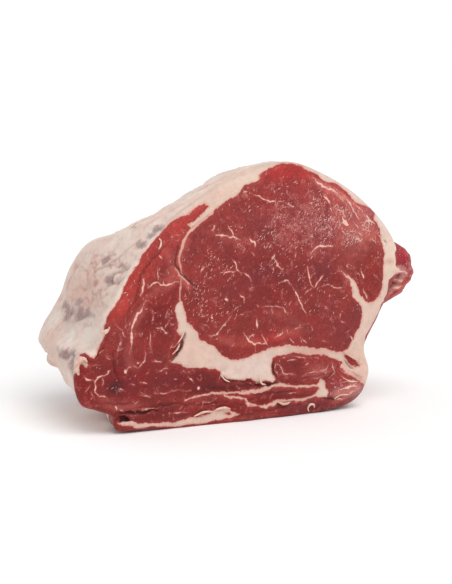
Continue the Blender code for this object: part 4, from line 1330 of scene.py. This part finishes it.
# %% Lean: the net of membranes
bend = add(
    tree, "ShaderNodeTexNoise", {"Vector": place, "Scale": per_mm(1.8), "Detail": 3.0}
).outputs["Color"]
bent = add(
    tree,
    "ShaderNodeVectorMath",
    {0: bend, 1: (2.6 * MM, 2.6 * MM, 2.6 * MM), 2: place},
    operation="MULTIPLY_ADD",
)
shown = add(
    tree, "ShaderNodeTexNoise", {"Vector": place, "Scale": per_mm(4.5), "Detail": 4.0, "Roughness": 0.7}
)
more_shown = add(
    tree,
    "ShaderNodeMath",
    {0: stored["speckle"], 1: 0.16, 2: shown.outputs["Fac"]},
    operation="MULTIPLY_ADD",
)
netted = 0.0
for cell_mm, least, strength in ((3.4, 0.54, 0.28), (1.5, 0.59, 0.75)):
    cells = add(
        tree,
        "ShaderNodeTexVoronoi",
        {"Vector": bent.outputs[0], "Scale": per_mm(cell_mm)},
        feature="DISTANCE_TO_EDGE",
    )
    line = add(
        tree,
        "ShaderNodeMapRange",
        {"Value": cells.outputs["Distance"], "From Min": 0.09, "From Max": 0.03, "To Max": strength},
    )
    here = add(
        tree,
        "ShaderNodeMapRange",
        {"Value": more_shown.outputs[0], "From Min": least, "From Max": least + 0.08},
    )
    line = add(
        tree, "ShaderNodeMath", {0: line.outputs[0], 1: here.outputs[0]}, operation="MULTIPLY"
    ).outputs[0]
    netted = add(tree, "ShaderNodeMath", {0: line, 1: netted}, operation="MAXIMUM").outputs[0]
print(len(tree.nodes), "nodes so far")

# %% Lean: bruises, the finest marbling and its painted glints
bruise = add(
    tree, "ShaderNodeTexNoise", {"Vector": place, "Scale": per_mm(19.0), "Detail": 4.0, "Roughness": 0.6}
)
purpler = add(
    tree,
    "ShaderNodeMapRange",
    {"Value": bruise.outputs["Fac"], "From Min": 0.5, "From Max": 0.72, "To Max": 0.35},
)
lean = add(
    tree, "ShaderNodeMix", {0: purpler.outputs[0], 6: lean.outputs[2], 7: rgba(BRUISE)}, data_type="RGBA"
)
lean = add(tree, "ShaderNodeMix", {0: netted, 6: lean.outputs[2], 7: rgba(MEMBRANE)}, data_type="RGBA")
# Fine marbling, too small for the mesh: pale flecks a fraction of a millimetre wide, which in the upper eye
# also paint wet glints
fleck_and_glint_zone = add(tree, "ShaderNodeMapRange", {"Value": stored["speckle"], "To Min": 0.70, "To Max": 0.61})
above = add(
    tree, "ShaderNodeMath", {0: fibres.outputs["Fac"], 1: fleck_and_glint_zone.outputs[0]}, operation="SUBTRACT"
)
flecks_and_glints = add(
    tree,
    "ShaderNodeMapRange",
    {"Value": above.outputs[0], "From Min": 0.0, "From Max": 0.07, "To Max": 0.45},
)
lean = add(
    tree,
    "ShaderNodeMix",
    {0: flecks_and_glints.outputs[0], 6: lean.outputs[2], 7: rgba(FINE_FLECK_AND_GLINT)},
    data_type="RGBA",
)
print(len(tree.nodes), "nodes so far")

# %% Fat: cream, thin and pink at its edges
ragged = add(
    tree, "ShaderNodeTexNoise", {"Vector": place, "Scale": per_mm(2.2), "Detail": 5.0, "Roughness": 0.75}
)
ragged_thin = add(
    tree, "ShaderNodeMath", {0: ragged.outputs["Fac"], 1: 1.3, 2: stored["thin"]}, operation="MULTIPLY_ADD"
)
is_thin = add(
    tree,
    "ShaderNodeMapRange",
    {"Value": ragged_thin.outputs[0], "From Min": 0.98, "From Max": 1.34, "To Max": 0.72},
    **SOFT,
)
depth_seen = add(
    tree, "ShaderNodeMapRange", {"Value": ragged_thin.outputs[0], "From Min": 1.3, "From Max": 1.7}
)
lilac = add(
    tree,
    "ShaderNodeMix",
    {0: depth_seen.outputs[0], 6: rgba(THIN_COVER), 7: rgba(MEAT_UNDER_COVER)},
    data_type="RGBA",
)
waxy = add(
    tree, "ShaderNodeTexNoise", {"Vector": place, "Scale": per_mm(5.0), "Detail": 4.0, "Roughness": 0.6}
)
waxy_shade = add(
    tree,
    "ShaderNodeMapRange",
    {"Value": waxy.outputs["Fac"], "From Min": 0.3, "From Max": 0.7, "To Min": 0.93, "To Max": 1.06},
)
cream = add(
    tree,
    "ShaderNodeMix",
    {0: 1.0, 6: stored["fat_tint"], 7: waxy_shade.outputs[0]},
    data_type="RGBA",
    blend_type="MULTIPLY",
)
capillary = add(tree, "ShaderNodeMath", {0: netted, 1: 0.8}, operation="MULTIPLY")
cream = add(
    tree,
    "ShaderNodeMix",
    {0: capillary.outputs[0], 6: cream.outputs[2], 7: rgba(CAPILLARY)},
    data_type="RGBA",
)
cream = add(
    tree,
    "ShaderNodeMix",
    {0: is_thin.outputs[0], 6: cream.outputs[2], 7: lilac.outputs[2]},
    data_type="RGBA",
)
pinker = add(tree, "ShaderNodeMix", {0: 0.55, 6: cream.outputs[2], 7: rgba(PINK_EDGE)}, data_type="RGBA")
cream = add(
    tree,
    "ShaderNodeMix",
    {0: deep_fat.outputs[0], 6: pinker.outputs[2], 7: cream.outputs[2]},
    data_type="RGBA",
)
print(len(tree.nodes), "nodes with the cream")

# %% Fat over lean
lean = add(
    tree,
    "ShaderNodeMix",
    {0: near_fat.outputs[0], 6: lean.outputs[2], 7: rgba(BESIDE_FAT)},
    data_type="RGBA",
)
film_share = add(
    tree, "ShaderNodeMath", {0: stored["film"], 1: fibres.outputs["Fac"]}, operation="MULTIPLY"
)
lean = add(
    tree, "ShaderNodeMix", {0: film_share.outputs[0], 6: lean.outputs[2], 7: rgba(FILM)}, data_type="RGBA"
)
lean = add(
    tree,
    "ShaderNodeMix",
    {0: by_vein.outputs[0], 6: lean.outputs[2], 7: rgba(BESIDE_VEIN)},
    data_type="RGBA",
)
vein_cream = add(
    tree, "ShaderNodeMix", {0: in_vein.outputs[0], 6: lean.outputs[2], 7: rgba(VEIN_FAT)}, data_type="RGBA"
)
surface = add(
    tree,
    "ShaderNodeMix",
    {0: in_fat.outputs[0], 6: vein_cream.outputs[2], 7: cream.outputs[2]},
    data_type="RGBA",
)
# Juice gathers where two pieces part, and the shade in the gaps is painted in with it, so the gaps are nearly
# black
juice_and_shade = add(
    tree, "ShaderNodeMapRange", {"Value": stored["gap"], "From Min": 0.15, "From Max": 1.1, "To Max": 0.95}
)
surface = add(
    tree, "ShaderNodeMix", {0: juice_and_shade.outputs[0], 6: surface.outputs[2], 7: rgba(JUICE_AND_SHADE)}, data_type="RGBA"
)

print(len(tree.nodes), "nodes with the fat")

# %% Wet surface
wet = add(tree, "ShaderNodeMapRange", {"Value": in_fat.outputs[0], "To Min": 0.38, "To Max": 0.50})
wetness = add(
    tree,
    "ShaderNodeMath",
    {0: patches.outputs["Fac"], 1: 0.16, 2: wet.outputs[0]},
    operation="MULTIPLY_ADD",
)
rise = add(tree, "ShaderNodeMath", {0: fibres.outputs["Fac"], 1: grains.outputs["Fac"]}, operation="ADD")
rise = add(
    tree, "ShaderNodeMath", {0: waxy.outputs["Fac"], 1: 2.5, 2: rise.outputs[0]}, operation="MULTIPLY_ADD"
)
crinkled = add(
    tree, "ShaderNodeMath", {0: ragged.outputs["Fac"], 1: in_fat.outputs[0]}, operation="MULTIPLY"
)
rise = add(
    tree, "ShaderNodeMath", {0: crinkled.outputs[0], 1: 2.0, 2: rise.outputs[0]}, operation="MULTIPLY_ADD"
)
bump = add(tree, "ShaderNodeBump", {"Height": rise.outputs[0], "Strength": 0.6, "Distance": 0.4 * MM})
skin = add(
    tree,
    "ShaderNodeBsdfPrincipled",
    {
        "Base Color": surface.outputs[2],
        "Roughness": wetness.outputs[0],
        "Normal": bump.outputs[0],
        "IOR": 1.38,
        "Specular IOR Level": 0.34,
        "Subsurface Weight": 0.12,
        "Subsurface Radius": (1.0, 0.35, 0.25),
        "Subsurface Scale": 1.6 * MM,
        "Coat Weight": 0.07,
        "Coat Roughness": 0.28,
        "Coat IOR": 1.33,
    },
)
add(tree, "ShaderNodeOutputMaterial", {"Surface": skin.outputs["BSDF"]})
roast_data.materials.append(beef)
print(len(tree.nodes), "nodes in the finish of the meat")

# %% [markdown]
# ## Flecks of marbling and painted glints
# Between the veins the cut is full of flecks: cut ends of the finest fat, paler and drier than the lean,
# so they catch the light. Their pale colour is also a painted highlight: it stands for the small wet
# glints on the upper eye. There are thousands, and they follow the surface, so Geometry Nodes scatters
# them: points on the faces, thickest where a stored weight says so, and on each point a flat grain of
# twenty faces that lies along the meat's grain. Modelling them by hand would take days, and a bump would
# not catch the light at their edges.

# %% Where flecks and their painted glints lie
FLECK_AND_GLINT_ZONES = (  # x, z, reach in x, reach in z, weight
    (26, 108, 34, 14, 3.4), (48, 100, 14, 9, 5.0), (-38, 89, 12, 8, 2.6), (-44, 66, 7, 9, 2.4),
    (12, 76, 12, 8, 1.2), (2, 100, 14, 8, 1.6), (60, 96, 9, 9, 3.6), (-70, 66, 14, 20, 0.3),
    (-30, 78, 12, 10, 0.8), (28, 62, 16, 10, 0.6), (-28, 57, 14, 6, 1.4), (52, 12, 12, 8, 1.8),
)  # fmt: skip
weight = np.full(len(front_inner), 0.07)
for x, z, reach_x, reach_z, more in FLECK_AND_GLINT_ZONES:
    weight += more * np.exp(-(((front_inner - (x, z)) / (reach_x, reach_z)) ** 2).sum(axis=1))
weight *= smooth_step(-front_fat[AROUND:], 0.2, 1.2) * smooth_step(rough(front_inner, 7, 161), -0.5, 0.4)
lobe_weight = 3.6 * side_lobe * smooth_step(-side_fat_mm, 0.2, 1.0) * smooth_step(side[:, 2], 62, 80)
lobe_weight *= 0.15 + 0.85 * smooth_step(-side[:, 1], 36, 42)
back_weight = 0.8 * smooth_step(-back_fat[AROUND:], 0.2, 1.2)
store(roast_data, "fleck_and_glint", "FLOAT", np.concatenate([lobe_weight, weight, back_weight]))
print("mean weight on the front cut:", round(float(weight.mean()), 2))


# %% Starting and running a tree
def new_tree(name, **inputs):
    """A Geometry Nodes tree with geometry in and out and these named inputs."""
    tree = bpy.data.node_groups.new(name, "GeometryNodeTree")
    tree.interface.new_socket("Geometry", in_out="INPUT", socket_type="NodeSocketGeometry")
    for title, kind in inputs.items():
        tree.interface.new_socket(title, in_out="INPUT", socket_type="NodeSocket" + kind)
    tree.interface.new_socket("Geometry", in_out="OUTPUT", socket_type="NodeSocketGeometry")
    return tree, add(tree, "NodeGroupInput").outputs


def run_tree(source, name, tree, **values):
    """Runs a tree on an object and returns what it makes as a plain object of its own."""
    carrier = source.copy()
    bpy.context.scene.collection.objects.link(carrier)
    modifier = carrier.modifiers.new(name, "NODES")
    modifier.node_group = tree
    for item in tree.interface.items_tree:
        if item.item_type == "SOCKET" and item.in_out == "INPUT" and item.name in values:
            modifier[item.identifier] = values[item.name]
    evaluated = carrier.evaluated_get(bpy.context.evaluated_depsgraph_get())
    data = bpy.data.meshes.new_from_object(evaluated)
    carrier.modifiers.remove(modifier)
    bpy.data.objects.remove(carrier)
    made = bpy.data.objects.new(name, data)
    bpy.context.scene.collection.objects.link(made)
    data.name = name
    return made


print(len(roast_data.polygons), "faces can carry flecks")

# %% The tree that scatters flecks
flecks, given = new_tree(
    "flecks_on_a_cut",
    Density="Float",
    Length="Float",
    Width="Float",
    Grain="Vector",
    Seed="Int",
    Finish="Material",
)
weight_here = add(
    flecks, "GeometryNodeInputNamedAttribute", {"Name": "fleck_and_glint"}, data_type="FLOAT"
).outputs[0]
density = add(
    flecks, "ShaderNodeMath", {0: weight_here, 1: given["Density"]}, operation="MULTIPLY"
).outputs[0]
spread = add(
    flecks,
    "GeometryNodeDistributePointsOnFaces",
    {"Mesh": given["Geometry"], "Density": density, "Seed": given["Seed"]},
)
upright = add(flecks, "FunctionNodeAlignRotationToVector", {"Vector": spread.outputs["Normal"]}, axis="Z")
sway = add(
    flecks,
    "FunctionNodeRandomValue",
    {"Min": (-0.6, -0.3, -0.6), "Max": (0.6, 0.3, 0.6), "Seed": given["Seed"]},
    data_type="FLOAT_VECTOR",
)
lean_way = add(flecks, "ShaderNodeVectorMath", {0: given["Grain"], 1: sway.outputs[0]}, operation="ADD")
along = add(
    flecks,
    "FunctionNodeAlignRotationToVector",
    {"Rotation": upright.outputs[0], "Vector": lean_way.outputs[0]},
    axis="X",
    pivot_axis="Z",
)
print(len(flecks.nodes), "nodes place the flecks")

# %% The grain on each point
size = add(flecks, "FunctionNodeRandomValue", {2: 0.45, 3: 1.5, "Seed": given["Seed"]}, data_type="FLOAT")
stretch = add(
    flecks, "FunctionNodeRandomValue", {2: 0.5, 3: 1.2, "ID": 7, "Seed": given["Seed"]}, data_type="FLOAT"
)
length = add(flecks, "ShaderNodeMath", {0: given["Length"], 1: stretch.outputs[1]}, operation="MULTIPLY")
thin = add(flecks, "ShaderNodeMath", {0: given["Width"], 1: 0.6}, operation="MULTIPLY")
shape = add(flecks, "ShaderNodeCombineXYZ", {0: length.outputs[0], 1: given["Width"], 2: thin.outputs[0]})
shape = add(
    flecks, "ShaderNodeVectorMath", {0: shape.outputs[0], "Scale": size.outputs[1]}, operation="SCALE"
)
grain = add(flecks, "GeometryNodeMeshIcoSphere", {"Radius": 0.5, "Subdivisions": 1})
placed_flecks = add(
    flecks,
    "GeometryNodeInstanceOnPoints",
    {
        "Points": spread.outputs["Points"],
        "Instance": grain.outputs["Mesh"],
        "Rotation": along.outputs[0],
        "Scale": shape.outputs[0],
    },
)
real = add(flecks, "GeometryNodeRealizeInstances", {"Geometry": placed_flecks.outputs[0]})
smooth = add(flecks, "GeometryNodeSetShadeSmooth", {"Geometry": real.outputs[0]})
finished = add(
    flecks, "GeometryNodeSetMaterial", {"Geometry": smooth.outputs[0], "Material": given["Finish"]}
)
add(flecks, "NodeGroupOutput", {"Geometry": finished.outputs[0]})
print(len(flecks.nodes), "nodes in the tree")

# %% [markdown]
# The flecks are the same fat as the veins, in pieces too small to show a colour of their own. They pass
# light almost as the lean does, and their wet tops give points of highlight; their pale colour paints more
# highlight on top.

# %% Fleck finish and the flecks
fleck_and_glint_finish = bpy.data.materials.new("marbling_fat_and_painted_glints")
fleck_and_glint_finish.use_nodes = True
tree = fleck_and_glint_finish.node_tree
tint = add(
    tree,
    "ShaderNodeTexNoise",
    {"Vector": add(tree, "ShaderNodeTexCoord").outputs["Object"], "Scale": per_mm(6.0), "Detail": 2.0},
)
tint_mix = add(
    tree, "ShaderNodeMapRange", {"Value": tint.outputs["Fac"], "From Min": 0.35, "From Max": 0.65}
)
tint_colour = add(
    tree,
    "ShaderNodeMix",
    {0: tint_mix.outputs[0], 6: rgba("#C88C84"), 7: rgba("#E2BDB4")},
    data_type="RGBA",
)
base = tree.nodes["Principled BSDF"]
tree.links.new(tint_colour.outputs[2], base.inputs["Base Color"])
base.inputs["Roughness"].default_value = 0.3
base.inputs["Subsurface Weight"].default_value = 0.2
base.inputs["Subsurface Radius"].default_value = (1.0, 0.5, 0.4)
base.inputs["Subsurface Scale"].default_value = 0.8 * MM

GRAIN = (0.62, 0.0, 0.78)
flecks_and_glints_piece = run_tree(
    roast,
    "marbling_flecks_and_painted_glints",
    flecks,
    Density=0.21e6,
    Length=1.25 * MM,
    Width=0.27 * MM,
    Grain=GRAIN,
    Seed=5,
    Finish=fleck_and_glint_finish,
)
print(len(flecks_and_glints_piece.data.polygons) // 20, "flecks")

# %% [markdown]
# ## Loose strands and curls of fat
# The knife leaves ends: a curl of fat at the flank's tip, a hook beside the bright strip, shreds where
# the layers part at the bottom. Each is a soft cord with a path and a thickness that fades at its ends.
# The paths are listed, and one tree gives every path its round, uneven body.

# %% Paths of the strands
STRANDS = (  # half thickness, then x, z on the cut and how far it stands out
    (0.5, (-66.4, 102.5, -0.2), (-65.2, 101, 0.6), (-65.4, 98.6, 1.0), (-66.6, 96.8, 0.4)),
    (1.5, (-113.6, 33.5, -0.6), (-114.4, 37.5, 0.3), (-113.2, 41.0, 0.7), (-110.6, 41.9, 0.5),
     (-108.6, 40.2, -0.2)),
    (1.1, (-100.5, 55.2, -0.4), (-98.0, 55.0, 0.5), (-95.8, 56.4, 0.1)),
    (0.6, (25.6, 0.9, -0.4), (24.9, 3.0, 0.4), (26.4, 4.9, 0.6), (28.6, 4.6, 0.4), (29.0, 2.8, -0.3)),
    (0.55, (48, 33.2, -0.3), (52, 30.2, 0.4), (56, 28.0, 0.5), (60.5, 25.6, 0.0)),
    (0.5, (55, 21, -0.2), (58.5, 18.5, 0.5), (61.5, 17.5, 0.1)),
    (0.45, (49, 17, -0.2), (53, 15.4, 0.4), (57.5, 15.0, 0.0)),
    (0.8, (-33, 7.6, -0.3), (-28, 8.4, 0.5), (-24, 7.2, 0.1)),
    (0.7, (-46, 5.4, -0.3), (-40, 7.2, 0.5), (-35, 7.0, 0.0)),
    (0.45, (-52, 51.4, -0.2), (-53.4, 48.6, 0.5), (-55.6, 46.0, 0.1)),
    (0.4, (-54.4, 45.6, -0.2), (-56.2, 42.4, 0.5), (-58.8, 40.2, 0.0)),
    (0.6, (-6, 22.4, -0.2), (-4.6, 19.6, 0.5), (-2.0, 18.6, 0.0)),
    (0.5, (-30, 26.6, -0.2), (-27, 23.4, 0.4), (-24.4, 22.2, 0.0)),
    (0.7, (5, 8.6, -0.3), (9.5, 6.8, 0.6), (13.5, 7.4, 0.0)),
    (0.4, (42, 6.4, -0.3), (46, 8.4, 0.4), (51, 8.2, 0.0)),
    (0.5, (70.4, 97.2, -0.3), (72, 95.8, 0.4), (72.6, 93.6, 0.1)),
)  # fmt: skip
strand_points, strand_edges, strand_radius = [], [], []
for half, *path in STRANDS:
    path = smooth_path(path, 6)
    spots = front_place(path[:, :2], -path[:, 2] - LEAN_SWELL) + shift
    first = len(strand_points)
    strand_points += [tuple(p * MM) for p in spots]
    strand_edges += [(k, k + 1) for k in range(first, first + len(path) - 1)]
    fade = np.sin(np.pi * np.linspace(0.08, 0.92, len(path))) ** 0.6
    strand_radius += list(half * MM * fade * (1 + 0.25 * uneven(spots, 1.6, 171)))
strand_data = bpy.data.meshes.new("strand_paths")
strand_data.from_pydata(strand_points, strand_edges, [])
store(strand_data, "half", "FLOAT", strand_radius)
strand_source = bpy.data.objects.new("strand_paths", strand_data)
print(len(STRANDS), "strands with", len(strand_points), "points")

# %% The tree that gives them a body
cords, given = new_tree("soft_cord", Around="Int", Unevenness="Float", Bump="Float", Finish="Material")
curve = add(cords, "GeometryNodeMeshToCurve", {"Mesh": given["Geometry"]})
half = add(cords, "GeometryNodeInputNamedAttribute", {"Name": "half"}, data_type="FLOAT").outputs[0]
thick = add(cords, "GeometryNodeSetCurveRadius", {"Curve": curve.outputs[0], "Radius": half})
ring = add(cords, "GeometryNodeCurvePrimitiveCircle", {"Resolution": given["Around"], "Radius": 1.0})
body = add(
    cords,
    "GeometryNodeCurveToMesh",
    {"Curve": thick.outputs[0], "Profile Curve": ring.outputs[0], "Fill Caps": True, "Scale": half},
)
wobble = add(cords, "ShaderNodeTexNoise", {"Scale": given["Bump"], "Detail": 2.0}, noise_dimensions="3D")
centred = add(
    cords, "ShaderNodeVectorMath", {0: wobble.outputs["Color"], 1: (0.5, 0.5, 0.5)}, operation="SUBTRACT"
)
push = add(
    cords, "ShaderNodeVectorMath", {0: centred.outputs[0], "Scale": given["Unevenness"]}, operation="SCALE"
)
moved = add(cords, "GeometryNodeSetPosition", {"Geometry": body.outputs[0], "Offset": push.outputs[0]})
joined = add(cords, "GeometryNodeRealizeInstances", {"Geometry": moved.outputs[0]})
round_off = add(cords, "GeometryNodeSetShadeSmooth", {"Geometry": joined.outputs[0]})
finished = add(
    cords, "GeometryNodeSetMaterial", {"Geometry": round_off.outputs[0], "Material": given["Finish"]}
)
add(cords, "NodeGroupOutput", {"Geometry": finished.outputs[0]})
print(len(cords.nodes), "nodes in the tree")

# %% [markdown]
# Fresh fat at a cut edge is cream and waxy, with a little pink from the lean under it.

# %% Strand finish and the strands
wax = bpy.data.materials.new("cream_fat_cut_edge")
wax.use_nodes = True
tree = wax.node_tree
cloud = add(
    tree,
    "ShaderNodeTexNoise",
    {"Vector": add(tree, "ShaderNodeTexCoord").outputs["Object"], "Scale": per_mm(2.5), "Detail": 3.0},
)
cloudy = add(
    tree, "ShaderNodeMapRange", {"Value": cloud.outputs["Fac"], "From Min": 0.35, "From Max": 0.65}
)
waxy_colour = add(
    tree, "ShaderNodeMix", {0: cloudy.outputs[0], 6: rgba("#CF9F90"), 7: rgba("#E0C4B2")}, data_type="RGBA"
)
base = tree.nodes["Principled BSDF"]
tree.links.new(waxy_colour.outputs[2], base.inputs["Base Color"])
base.inputs["Roughness"].default_value = 0.45
base.inputs["Subsurface Weight"].default_value = 0.15
base.inputs["Subsurface Radius"].default_value = (1.0, 0.5, 0.4)
base.inputs["Subsurface Scale"].default_value = 1.5 * MM
strand_piece = run_tree(
    strand_source, "fat_strands", cords, Around=10, Unevenness=0.5 * MM, Bump=per_mm(1.5), Finish=wax
)
bpy.data.objects.remove(strand_source)
print(len(strand_piece.data.polygons), "faces on the strands")

# %% [markdown]
# ## Studio
# A white floor, a white room and one large soft lamp, high in front, keep shadows open, so the marbling
# reads. The camera stands a metre away with a long lens, a little above the table, so the roast keeps its
# proportions.

# %% Floor, light and room
FLOOR_HALF = 3.0
ROOM_CEILING = 0.66
LAMP_TURN, LAMP_HEIGHT, LAMP_SPREAD, LAMP_POWER = 4.0, 56.0, 55.0, 1.55
floor_data = bpy.data.meshes.new("floor")
corners_of_floor = [(FLOOR_HALF * x, FLOOR_HALF * y, 0) for x, y in ((-1, -1), (1, -1), (1, 1), (-1, 1))]
floor_data.from_pydata(corners_of_floor, [], [(0, 1, 2, 3)])
floor = bpy.data.objects.new("floor", floor_data)
bpy.context.scene.collection.objects.link(floor)
paper = bpy.data.materials.new("matt_white_paper")
paper.use_nodes = True
sheet = paper.node_tree.nodes["Principled BSDF"]
sheet.inputs["Base Color"].default_value = rgba("#FFFFFF")
sheet.inputs["Roughness"].default_value = 0.9
sheet.inputs["Specular IOR Level"].default_value = 0.1
floor_data.materials.append(paper)

world = bpy.data.worlds.new("white_room")
world.use_nodes = True
room = world.node_tree
up = add(
    room, "ShaderNodeSeparateXYZ", {0: add(room, "ShaderNodeTexCoord").outputs["Generated"]}
).outputs["Z"]
dimmer = add(
    room,
    "ShaderNodeMapRange",
    {"Value": up, "From Min": 0.12, "From Max": 0.35, "To Min": 1.0, "To Max": ROOM_CEILING},
)
room.nodes["Background"].inputs["Color"].default_value = (1, 1, 1, 1)
room.links.new(dimmer.outputs[0], room.nodes["Background"].inputs["Strength"])
bpy.context.scene.world = world

lamp_data = bpy.data.lights.new("soft_window", "SUN")
lamp_data.angle = np.radians(LAMP_SPREAD)
lamp_data.energy = LAMP_POWER
lamp = bpy.data.objects.new("soft_window", lamp_data)
turn, rise = np.radians(LAMP_TURN), np.radians(LAMP_HEIGHT)
towards = Vector((np.sin(turn) * np.cos(rise), -np.cos(turn) * np.cos(rise), np.sin(rise)))
lamp.rotation_euler = towards.to_track_quat("Z", "Y").to_euler()
bpy.context.scene.collection.objects.link(lamp)
print("light comes from", [round(c, 2) for c in towards])

# %% Camera
AZIMUTH, ELEVATION, DISTANCE = np.radians(-28.0), np.radians(8.0), 1.0
TARGET_HEIGHT = 63.5 * MM
LENS, SENSOR = 108.0, 36.0
target = Vector((shift[0] * MM, shift[1] * MM, TARGET_HEIGHT))
back = Vector(
    (np.sin(AZIMUTH) * np.cos(ELEVATION), -np.cos(AZIMUTH) * np.cos(ELEVATION), np.sin(ELEVATION))
)
camera_data = bpy.data.cameras.new("camera")
camera_data.lens, camera_data.sensor_width = LENS, SENSOR
camera = bpy.data.objects.new("camera", camera_data)
camera.location = target + DISTANCE * back
camera.rotation_euler = (-back).to_track_quat("-Z", "Y").to_euler()
bpy.context.scene.collection.objects.link(camera)
bpy.context.scene.camera = camera
bpy.context.scene.view_settings.view_transform = "Standard"
print("camera at", [round(c, 3) for c in camera.location])

# %% Join the roast to its frame
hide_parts("roast")
for piece in (roast, flecks_and_glints_piece, strand_piece):
    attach(piece, "root")
print("the roast's skin, flecks and strands ride with its frame")
